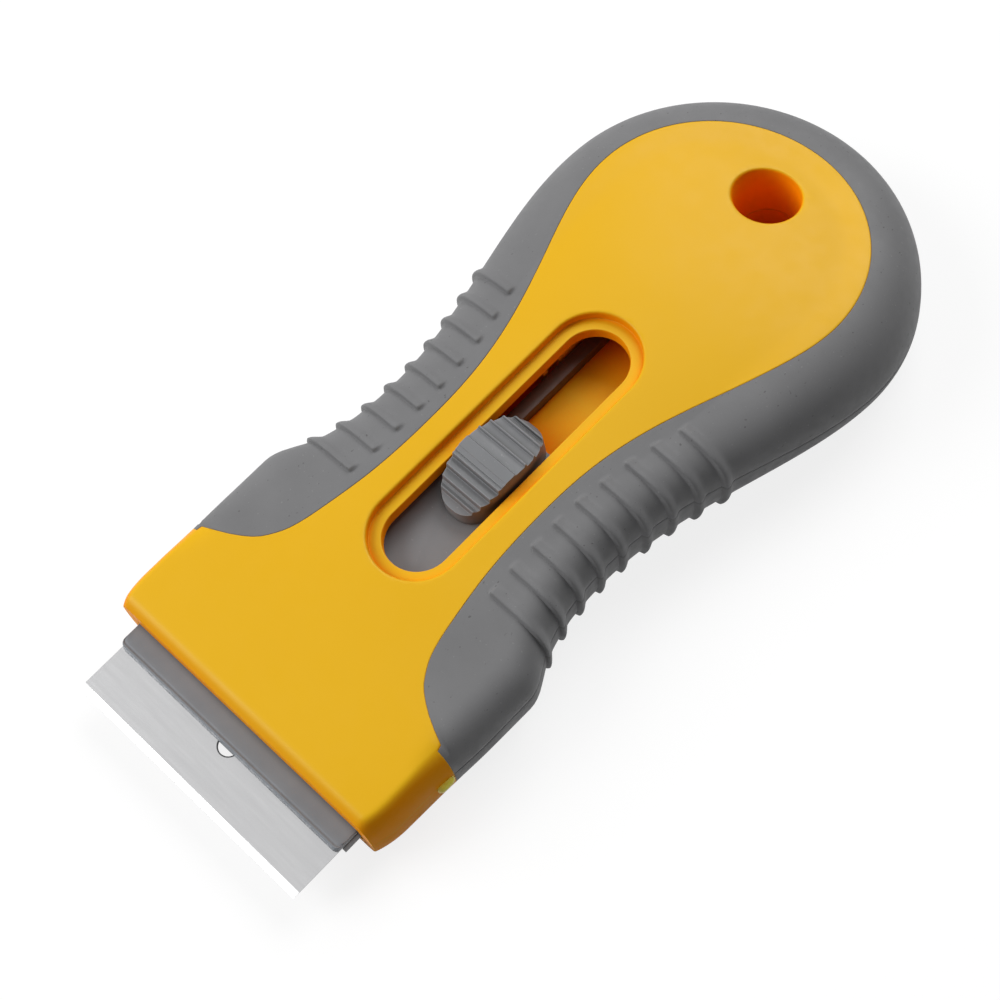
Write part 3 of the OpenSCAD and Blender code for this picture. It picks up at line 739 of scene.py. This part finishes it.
def seat_z(y):
    """Height of the seat that a screw's head is drawn against."""
    return back_z(y) + SINK_H


def bay():
    """The room that the carrier slides in."""
    return block((-BAY_W / 2, MOUTH_Y - OVER, DECK_Z), (BAY_W / 2, BAY_END, GUIDE_Z))


def lip(r, depth):
    """Rings that cut a rounded edge into the top face round a hole of radius r."""
    return [(r + out, lambda x, y, up=up: face_at(x, y) + up * depth) for out, up in TOP_EDGE]


def upper_shell():
    """The upper shell with its bosses, tube, guides, slot, ledge and holes."""
    bosses, guides, holes = [], [], []
    for x, y in SCREWS:
        bosses.append(rod(x, y, BOSS_R, seam_z(y) + PLAY / 2, top_z(y) - WALL - CROWN_HEAD))
        holes.append(rod(x, y, SCREW_R + PLAY / 2, seam_z(y) - OVER, seat_z(y) + SCREW_LEN + PLAY))
    for x, end in GUIDES:
        for side in (1, -1):
            low_corner = (side * x - GUIDE_HALF, CAVITY_Y - PLAY, GUIDE_Z)
            guides.append(block(low_corner, (side * x + GUIDE_HALF, end, INSIDE_TOP + PLAY)))
    tube_top = (TUBE_R, lambda x, y: face_at(x, y) - WALL)
    tube = swept([(TUBE_R, seam_z(HANG_Y) + PLAY / 2), tube_top], HANG_Y, HANG_Y)
    ledge_r, ledge_z = SLOT_R + LEDGE_W, TOP_H - LEDGE_H
    ledge = swept([(ledge_r, ledge_z)] + lip(ledge_r, depth=1.0), SLOT_Y1, SLOT_Y2)
    slot_edge = [(SLOT_R + out, ledge_z + up) for out, up in SLOT_EDGE]
    slot = swept([(SLOT_R, GUIDE_Z - OVER)] + slot_edge, SLOT_Y1, SLOT_Y2)
    hole = swept([(HANG_R, BELOW_ALL)] + lip(HANG_R, depth=1.3), HANG_Y, HANG_Y, steps=36)
    return carve(solid("upper", shell_solid(False)), [
        ("DIFFERENCE", core_solid(False)), ("UNION", together(tube, *bosses, *guides)),
        ("DIFFERENCE", together(ledge, hole, bay(), *holes)), ("DIFFERENCE", slot)])


def lower_shell():
    """The lower shell with its bosses, tube, deck, walls, legs, notched rail and sunk screw seats."""
    bosses = [rod(x, y, BOSS_R, seat_z(y) - SINK_H / 2, seam_z(y) - PLAY / 2) for x, y in SCREWS]
    tube = rod(0, HANG_Y, TUBE_R, back_z(HANG_Y) + WALL, seam_z(HANG_Y) - PLAY / 2)
    tunnel = TUNNEL_W / 2 + LEG_T
    deck = [block((-BAY_W / 2, CAVITY_Y - PLAY, DECK_Z - DECK_T), (BAY_W / 2, BAY_END, DECK_Z)),
            block((-tunnel, BAY_END - PLAY, DECK_Z - DECK_T), (tunnel, DECK_END, DECK_Z))]
    walls, legs = [], []
    for side in (1, -1):
        x = side * (TUNNEL_W + LEG_T) / 2
        low_corner = (x - LEG_T / 2, BAY_END, DECK_Z - PLAY)
        walls.append(block(low_corner, (x + LEG_T / 2, DECK_END, -2 * PLAY)))
        for y in (CAVITY_Y - PLAY, BAY_END, WAIST_Y + OVER, HEAD_Y - 2 * OVER):
            low_corner = (x - LEG_T / 2, y, back_z(y) + WALL)
            legs.append(block(low_corner, (x + LEG_T / 2, y + 2 * LEG_T, DECK_Z - DECK_T / 2)))
    rail = block((RAIL_LEFT, RAIL_FRONT, DECK_Z - PLAY), (RAIL_RIGHT, DECK_END, DECK_Z + RAIL_H))
    sunk = [swept([(SINK_R, back_z(y) - OVER), (SINK_R, seat_z(y)), (SCREW_R + PLAY, seat_z(y)),
                   (SCREW_R + PLAY, seam_z(y) + OVER)], y, y, x) for x, y in SCREWS]
    notches = [rod(RAIL_RIGHT, y - NUB_R, NOTCH_R, DECK_Z, DECK_Z + NOTCH_H)
               for y in (ARM_END - TRAVEL_OUT, ARM_END, ARM_END + TRAVEL_IN)]
    hole = rod(0, HANG_Y, HANG_R, BELOW_ALL, ABOVE_ALL)
    return carve(solid("lower", shell_solid(True)), [
        ("DIFFERENCE", core_solid(True)), ("UNION", together(tube, *bosses)),
        ("UNION", deck[0]), ("UNION", deck[1]), ("UNION", together(*walls)),
        ("UNION", together(*legs)), ("UNION", rail),
        ("DIFFERENCE", together(hole, bay(), *sunk)), ("DIFFERENCE", together(*notches))])


# The seam tab's section, and how far it lies in, forward and down from the grip's front corner
TAB = ((0.05, 0), (0.45, 0.1), (0.72, 0.36), (0.82, 0.8),
       (0.82, 1.9), (0.72, 2.4), (0.45, 2.7), (0.05, 2.8))
TAB_IN, TAB_FORWARD, TAB_DOWN = 0.3, 2.85, 0.6


def seam_tab():
    """A small pill of clear flash that stands out of the seam in front of the right grip."""
    tab = swept(TAB, 0, 0, steps=18)
    for vert in tab.verts:
        x, y, z = vert.co
        vert.co = (side_w(GRIP_Y) - TAB_IN + x, GRIP_Y - TAB_FORWARD + z, y - TAB_DOWN)
    return tab


finish_mesh("seam_tab", seam_tab(), CLEAR, "handle", 60)
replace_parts(finish_mesh("upper_shell_skin", upper_shell(), YELLOW, "handle"), "upper_shell")
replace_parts(finish_mesh("lower_shell_skin", lower_shell(), YELLOW, "handle"), "lower_shell")


# The two soft grips

# Distances of the ribs' inner ends from the middle line, and of the stations on a rib from its middle
RIB_INNER = (12.0, 11.6, 11.6, 11.5, 11.6, 12.1, 12.6, 13.5, 14.6)
RIB_STEPS = (-0.75, -0.66, -0.57, -0.48, -0.38, -0.25, -0.1, 0.1, 0.35, 0.65, 1.0, 1.4, 1.9, 2.5)

# A rib's rounded corner, its rise, the flat on it and the length of its gentle rear
RIB_CORNER, RIB_RISE, RIB_FLAT, RIB_REAR, RIB_BEHIND = 0.5, 0.38, 0.5, 1.5, 0.35

# Ribs stand higher by this share down the side, where the rim has turned by the second number
RIB_SIDE, RIB_SIDE_V = 0.35, 0.6

# The lower grip's ribs end at this share of its width, moved on by a share of the round, and how steeply
LOW_SHARE, LOW_ROUND, LOW_SLOPE = 0.24, 0.4, 8

# The upper grip's close rows reach past its ribs' ends, past its edge, and over this share at most
PAST_RIBS, PAST_EDGE, CLOSE_SHARE = 1.2, 1.5, 0.6

# Rows of the lower and the upper grip, each inside and outside the ribs' ends, and of the lining
LOW_INSIDE, LOW_OUTSIDE, TOP_INSIDE, TOP_OUTSIDE, LINING_ROWS = 12, 24, 15, 22, 8


def rib_lift(y, b):
    """Height of a rib at y and at a distance b from its inner end.
    It is steep in front and at that end, with a round corner between them, and gentle behind."""
    k = round((y - RIB_Y) / RIB_PITCH - RIB_BEHIND)
    if not 0 <= k < RIB_N:
        return 0.0
    a = y - RIB_Y - k * RIB_PITCH + RIB_W / 2
    if a <= 0 or b <= 0:
        return 0.0
    deep = min(a, b)
    if a < RIB_CORNER and b < RIB_CORNER:
        deep = RIB_CORNER - sqrt((RIB_CORNER - a) ** 2 + (RIB_CORNER - b) ** 2)
    return RIB_H * ease(deep / RIB_RISE) * (1 - ease((a - RIB_FLAT) / RIB_REAR))


def rib_inner(y):
    """Distance of the ribs' inner ends from the middle line."""
    at = min(RIB_N - 1, max(0, (y - RIB_Y) / RIB_PITCH))
    k = min(RIB_N - 2, int(at))
    return mix(RIB_INNER[k], RIB_INNER[k + 1], at - k)


def grip_ring(s, low):
    """A ring of one grip: the ribbed skin, its rounded edges, and the lining that lies in the recess."""
    edge = s.band_edge(low)
    if low:
        v_in = mix(s.at(mix(edge, s.half, LOW_SHARE), 0, low), 2, LOW_ROUND)
        vs = spaced(s.at(edge, 0, low), v_in, LOW_INSIDE) + spaced(v_in, 2, LOW_OUTSIDE)[1:]
    else:
        near = min(max(rib_inner(s.y) + PAST_RIBS, edge + PAST_EDGE), mix(edge, s.half, CLOSE_SHARE))
        vs = [s.at(r, 0, low) for r in spaced(edge, near, TOP_INSIDE)]
        vs += spaced(s.at(near, 0, low), 2, TOP_OUTSIDE)[1:]
    outer = []
    for v in vs:
        point = s.skin(v, 0, low)
        if s.phi == 0:
            b = (v - v_in) * LOW_SLOPE if low else abs(point.x) - rib_inner(s.y)
            lift = rib_lift(s.y, b) * (1 + RIB_SIDE * ease((v - 1) / RIB_SIDE_V))
            if lift:
                point = s.skin(v, 0, low, lift)
        outer.append(point)
    foot_v = s.at(edge, GRIP_T, low)
    lining = [s.skin(v, GRIP_T, low) for v in spaced(foot_v, 2, LINING_ROWS)]
    top = rounded(lining[0], outer[0], outer[1], GRIP_EDGE)
    seam = rounded(outer[-2], outer[-1], lining[-1], SEAM_EDGE)
    return top + outer[1:-1] + seam + lining[::-1]


def grip(low):
    """One grip from the right front, round the head, to the left front."""
    ys = [y for y in SIDE_YS if y < RIB_Y - RIB_W / 2 - 0.2]
    ys += [RIB_Y + k * RIB_PITCH + step for k in range(RIB_N) for step in RIB_STEPS]
    ys += [y for y in SIDE_YS if y > RIB_Y + (RIB_N - 1) * RIB_PITCH + RIB_STEPS[-1] + 0.2]
    right = [grip_ring(Station(y), low) for y in ys]
    head = [grip_ring(Station(HEAD_Y, phi), low) for phi in spaced(0, 180, 72)[1:-1]]
    left = [mirrored(ring) for ring in right[::-1]]
    return loft(right + head + left, caps=(True, True))


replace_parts(finish_mesh("upper_grip_skin", grip(False), RUBBER, "handle", 70), "upper_grip")
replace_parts(finish_mesh("lower_grip_skin", grip(True), RUBBER, "handle", 70), "lower_grip")


# The thumb button, the carrier and the cover over the blade

# The button's middle, length, top and plan, and the stem that it sits on
BUTTON_MIDDLE, BUTTON_LEN, BUTTON_TOP, OVAL_POWER, OVAL_STEPS = 54.75, 15.1, 7.1, 2.5, 72
STEM_W, STEM_LEN, STEM_H = 4.4, 8, 3

# The button's half widths at its foot and over its top, where its ends lean in, and a place beside it
BUTTON_HALF, BUTTON_HALF_TOP, BUTTON_LEAN, OVER_BUTTON, BESIDE_BUTTON = 4.3, 4.08, 0.1, 8.2, 9

# The saddle and the crests in front of and behind the middle, as distances outward and down
FRONT_SADDLE = ((1.2, 0), (1.3, 0.05), (1.4, 0.16), (2, 0.22))
REAR_SADDLE = ((0.2, 0), (0.3, 0.12), (0.45, 0.34), (1.4, 0.46))
FRONT_CRESTS = ((2.55, 0.24), (3.95, 0.84), (5.25, 1.5), (6.25, 2.3))
REAR_CRESTS = ((2.25, 0.24), (3.95, 0.84), (5.6, 1.5), (6.75, 2.3))
FRONT_LIP, REAR_LIP = 0.14, 0.34


def crest(lip):
    """The section of a crest: a lip that stands over the tread inside it, then a steep drop outside."""
    inside = ((-0.5, -lip), (-0.28, -0.85 * lip), (-0.16, -0.25 * lip), (-0.08, 0))
    return inside + ((0.02, 0), (0.09, -0.1), (0.13, -0.56), (0.21, -0.8), (0.42, -0.86))


# The cover's top and ends, half the blade's thickness, and the tray's underside and front
COVER_Z, COVER_BACK, BLADE_MID, COVER_FRONT, TRAY_Z = 1.225, 21.2, 0.125, 7.2, -1.825
TRAY_FRONT, TRAY_STEP, TRAY_CUT = 8.26, 18.9, 2

# The tongue, the arm behind it, and the pegs that hold the blade and the cover
TONGUE_W, TONGUE_LEFT, TONGUE_STEP, TONGUE_END = 15, -5.2, 53.5, 61.4
ARM_LEFT, ARM_RIGHT, ARM_SLIM = -5.35, -3.3, 0.15
PEG_R, PEG_Y, PEG_TOP, PEG_IN = 1.2, 13, 0.625, 0.1
TIP_X, TIP_R, TIP_TOP = 19.5, 1.25, 0.725

# The bead along the cover's front, as distances back from it and heights, and its plan's corners
BEAD = ((0, BLADE_MID), (0.12, 0.6), (0.2, 0.95), (0.24, 1.12), (0.32, 1.205), (0.42, COVER_Z),
        (0.52, 1.205), (0.6, 1.15), (0.72, 1.14), (0.84, 1.19), (1.0, COVER_Z))
BEAD_CORNER, BEAD_STEPS, BEAD_REACH, BEAD_LEAN = 0.7, 6, 0.3, 0.5


def prism(outline, low, high, axis):
    """A closed solid from an outline, drawn out along x or z."""
    turn = {"x": lambda p, h: Vector((h, p[0], p[1])), "z": lambda p, h: Vector((p[0], p[1], h))}[axis]
    return loft([[turn(p, h) for p in outline] for h in (low, high)], caps=(True, True))


def oval(half_w, half_len, middle):
    """A full oval, between an ellipse and a rectangle."""
    ring = []
    for k in range(OVAL_STEPS):
        c, d = cos(2 * pi * k / OVAL_STEPS), sin(2 * pi * k / OVAL_STEPS)
        x, y = abs(c) ** (2 / OVAL_POWER), abs(d) ** (2 / OVAL_POWER)
        ring.append((half_w * (x if c > 0 else -x), middle + half_len * (y if d > 0 else -y)))
    return ring


def softened(bm, width, angle, segments):
    """The same solid with the edges that turn by more than the angle rounded."""
    piece = solid("soft", bm)
    modifier = piece.modifiers.new("flat", "DECIMATE")
    modifier.decimate_type, modifier.angle_limit = "DISSOLVE", radians(1)
    modifier = piece.modifiers.new("round", "BEVEL")
    modifier.width, modifier.segments, modifier.limit_method = width, segments, "ANGLE"
    modifier.angle_limit, modifier.use_clamp_overlap = radians(angle), True
    shape = piece.evaluated_get(bpy.context.evaluated_depsgraph_get())
    mesh = bpy.data.meshes.new_from_object(shape)
    out = bmesh.new()
    out.from_mesh(mesh)
    bpy.data.objects.remove(piece)
    return out


def button():
    """An oval block whose top steps down from a flat saddle, with a raised lip on each step."""
    sides = []
    halves = ((FRONT_SADDLE, FRONT_CRESTS, FRONT_LIP), (REAR_SADDLE, REAR_CRESTS, REAR_LIP))
    for saddle, crests, lip_h in halves:
        side = [(y, BUTTON_TOP - drop) for y, drop in saddle]
        for y, drop in crests:
            side += [(y + dy, BUTTON_TOP - drop + dz) for dy, dz in crest(lip_h)]
        sides.append(side + [(BUTTON_LEN, side[-1][1] - 1), (BUTTON_LEN, COVER_Z - 1)])
    profile = [(BUTTON_MIDDLE - y, z) for y, z in sides[0][::-1]]
    profile += [(BUTTON_MIDDLE + y, z) for y, z in sides[1]]
    foot = (BUTTON_HALF, BUTTON_LEN / 2, COVER_Z)
    over = (BUTTON_HALF_TOP, BUTTON_LEN / 2 - BUTTON_LEAN, OVER_BUTTON)
    rings = [[Vector((x, y, z)) for x, y in oval(half_w, half_len, BUTTON_MIDDLE)]
             for half_w, half_len, z in (foot, over)]
    steps = prism(profile, -BESIDE_BUTTON, BESIDE_BUTTON, "x")
    bm = carve(solid("button", loft(rings, caps=(True, True))), [("INTERSECT", steps)])
    bm = softened(bm, width=0.14, angle=48, segments=3)
    front, back = BUTTON_Y - STEM_LEN / 2 - PLAY, BUTTON_Y + STEM_LEN / 2 + PLAY
    pocket = block((-STEM_W / 2 - PLAY, front, 0), (STEM_W / 2 + PLAY, back, COVER_Z + STEM_H + PLAY))
    return carve(solid("button", bm), [("DIFFERENCE", pocket)])


def carrier():
    """The tray, its raised rear, the tongue with the stem, and the arm with its nub."""
    w, back, cut = CARRIER_W / 2, CARRIER_BACK, TRAY_CUT
    solids = []
    for front, top in ((TRAY_FRONT, -BLADE_MID), (TRAY_STEP, BLADE_MID), (COVER_BACK + PLAY, COVER_Z)):
        turn = max(front, back - cut)
        shape = [(-w, front), (w, front), (w, turn), (w - cut, back), (cut - w, back), (-w, turn)]
        solids.append(prism(shape, TRAY_Z, top, "z"))
    stem_front, stem_back = BUTTON_Y - STEM_LEN / 2, BUTTON_Y + STEM_LEN / 2
    for low_corner, high_corner in (
            ((-TONGUE_W / 2, COVER_BACK + PLAY, TRAY_Z), (TONGUE_W / 2, TONGUE_STEP, COVER_Z)),
            ((TONGUE_LEFT, TONGUE_STEP - OVER, TRAY_Z), (TONGUE_W / 2, TONGUE_END, COVER_Z)),
            ((-STEM_W / 2, stem_front, TRAY_Z), (STEM_W / 2, stem_back, COVER_Z + STEM_H)),
            ((ARM_LEFT + ARM_SLIM, TONGUE_END - OVER, TRAY_Z), (ARM_RIGHT, ARM_END - NUB_R, BLADE_MID))):
        solids.append(block(low_corner, high_corner))
    solids.append(rod(ARM_LEFT + NUB_R, ARM_END - NUB_R, NUB_R, TRAY_Z, BLADE_MID))
    for side in (-1, 1):
        solids.append(rod(side * (w - PEG_IN - PEG_R), PEG_Y, PEG_R, TRAY_Z, PEG_TOP))
    whole = carve(solid("carrier", solids[0]), [("UNION", part) for part in solids[1:]])
    return softened(whole, width=0.12, angle=40, segments=2)


def cover():
    """A plate with a rounded bead along its sloping front edge."""
    half_w, corner = CARRIER_W / 2, BEAD_CORNER
    rings = []
    for step, z in BEAD:
        y, side = COVER_FRONT + step, max(0, BEAD_REACH - step) * BEAD_LEAN
        ring = []
        for m in range(BEAD_STEPS + 1):
            t = pi / 2 * m / BEAD_STEPS
            px, py = half_w - side - corner + corner * sin(t), y + corner - corner * cos(t)
            ring.append(Vector((px, py, z)))
        ring.append(Vector((half_w, COVER_BACK, z)))
        rings.append(mirrored(ring[::-1]) + ring)
    bm = loft(rings, caps=(True, True))
    tips = [rod(side * TIP_X, PEG_Y, TIP_R, 0, TIP_TOP) for side in (-1, 1)]
    return carve(solid("cover", bm), [("DIFFERENCE", together(*tips))])


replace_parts(finish_mesh("thumb_button_skin", button(), GREY, "slider", 40), "thumb_button")
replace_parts(finish_mesh("blade_carrier_skin", carrier(), GREY, "slider", 40), "blade_carrier")
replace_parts(finish_mesh("carrier_cover_skin", cover(), COVER_GREY_PAINTED_LIGHT, "slider", 40), "carrier_cover")


# Floor, light and camera

def axes(azimuth, elevation, roll):
    """Right, up and backward directions of a camera."""
    a, e, t = radians(azimuth), radians(elevation), radians(roll)
    back = Vector((sin(a) * cos(e), -cos(a) * cos(e), sin(e)))
    right = Vector((0, 0, 1)).cross(back).normalized()
    up = back.cross(right)
    return cos(t) * right + sin(t) * up, cos(t) * up - sin(t) * right, back


def stand(name, data, place, turn):
    """Put a camera or lamp in the scene."""
    piece = bpy.data.objects.new(name, data)
    bpy.context.scene.collection.objects.link(piece)
    piece.matrix_world = Matrix.Translation(place) @ turn.to_4x4()
    return piece


# The camera as fitted to the photo, in degrees, millimetres and picture widths
VIEW_AZIMUTH, VIEW_ELEVATION, VIEW_ROLL = 58.637, 65.647, -15.937
TARGET, DISTANCE = laid((2.302, 53.06, 0)), 276.90 * MM
SENSOR, FOCAL_WIDTHS, CLIP_START = 36, 2.2, 0.01

# The view was fitted against the blade's plane, so it is tilted with the part
LAY = Matrix.Rotation(TILT, 3, "X")
RIGHT, UP, BACK = (LAY @ v for v in axes(VIEW_AZIMUTH, VIEW_ELEVATION, VIEW_ROLL))

camera_data = bpy.data.cameras.new("camera")
camera_data.sensor_fit = "HORIZONTAL"
camera_data.sensor_width = SENSOR
camera_data.lens = SENSOR * FOCAL_WIDTHS
camera_data.clip_start = CLIP_START
camera_turn = Matrix((RIGHT, UP, BACK)).transposed()
bpy.context.scene.camera = stand("camera", camera_data, TARGET + BACK * DISTANCE, camera_turn)

# The lamps' side and distance, in metres
LAMP_SIZE, LAMP_DISTANCE = 0.6, 0.9


def lamp(name, azimuth, elevation, power):
    """A soft square lamp that faces the part from the right side at azimuth 0, from the tail at 90."""
    data = bpy.data.lights.new(name, "AREA")
    data.size, data.energy = LAMP_SIZE, power
    a, e = radians(azimuth), radians(elevation)
    way = Vector((cos(e) * cos(a), cos(e) * sin(a), sin(e)))
    stand(name, data, TARGET + way * LAMP_DISTANCE, way.to_track_quat("Z", "Y").to_matrix())


lamp("key", 225, 38, 6.0)
lamp("tail", 108, 49, 5.1)


def seen_directly(tree):
    """1 on rays that show the background: from the camera, off metal or through glass."""
    path = tree.nodes.new("ShaderNodeLightPath")
    share = path.outputs["Is Camera Ray"]
    for kind in ("Is Glossy Ray", "Is Transmission Ray"):
        either = tree.nodes.new("ShaderNodeMath")
        either.operation = "MAXIMUM"
        tree.links.new(share, either.inputs[0])
        tree.links.new(path.outputs[kind], either.inputs[1])
        share = either.outputs[0]
    return share


def chosen_by(tree, share, first, second, end):
    """Feed the end with the first shader at share 0 and with the second at share 1."""
    mixed = tree.nodes.new("ShaderNodeMixShader")
    tree.links.new(share, mixed.inputs[0])
    tree.links.new(first, mixed.inputs[1])
    tree.links.new(second, mixed.inputs[2])
    tree.links.new(mixed.outputs[0], end)


# The room's light, the floor's grey in the light it throws, and its paint and glow as it is seen
AMBIENT, FLOOR_GREY, FLOOR_SHOWN, FLOOR_GLOW = 0.12, 0.5, 0.2, 0.83

# Half the floor's side, and its height just under the part, in metres
FLOOR_HALF, FLOOR_Z = 3, -0.0002

world = bpy.data.worlds.new("studio")
bpy.context.scene.world = world
world.use_nodes = True
tree = world.node_tree
tree.nodes.clear()
soft, white = tree.nodes.new("ShaderNodeBackground"), tree.nodes.new("ShaderNodeBackground")
soft.inputs["Strength"].default_value = AMBIENT
white.inputs["Color"].default_value = soft.inputs["Color"].default_value = (1, 1, 1, 1)
end = tree.nodes.new("ShaderNodeOutputWorld")
chosen_by(tree, seen_directly(tree), soft.outputs[0], white.outputs[0], end.inputs["Surface"])

floor_mat = bpy.data.materials.new("floor")
floor_mat.use_nodes = True
tree = floor_mat.node_tree
tree.nodes.clear()
paint, shown = tree.nodes.new("ShaderNodeBsdfDiffuse"), tree.nodes.new("ShaderNodeBsdfDiffuse")
glow = tree.nodes.new("ShaderNodeEmission")
paint.inputs["Color"].default_value = (FLOOR_GREY, FLOOR_GREY, FLOOR_GREY, 1)
shown.inputs["Color"].default_value = (FLOOR_SHOWN, FLOOR_SHOWN, FLOOR_SHOWN, 1)
glow.inputs["Strength"].default_value = FLOOR_GLOW
both = tree.nodes.new("ShaderNodeAddShader")
tree.links.new(shown.outputs[0], both.inputs[0])
tree.links.new(glow.outputs[0], both.inputs[1])
end = tree.nodes.new("ShaderNodeOutputMaterial")
chosen_by(tree, seen_directly(tree), paint.outputs[0], both.outputs[0], end.inputs["Surface"])

floor_mesh = bpy.data.meshes.new("floor")
corners = [(x * FLOOR_HALF, y * FLOOR_HALF, 0) for x, y in ((-1, -1), (1, -1), (1, 1), (-1, 1))]
floor_mesh.from_pydata(corners, [], [(0, 1, 2, 3)])
floor_mesh.materials.append(floor_mat)
floor = bpy.data.objects.new("floor", floor_mesh)
bpy.context.scene.collection.objects.link(floor)
floor.location.z = FLOOR_Z

bpy.context.scene.view_settings.view_transform = "Standard"
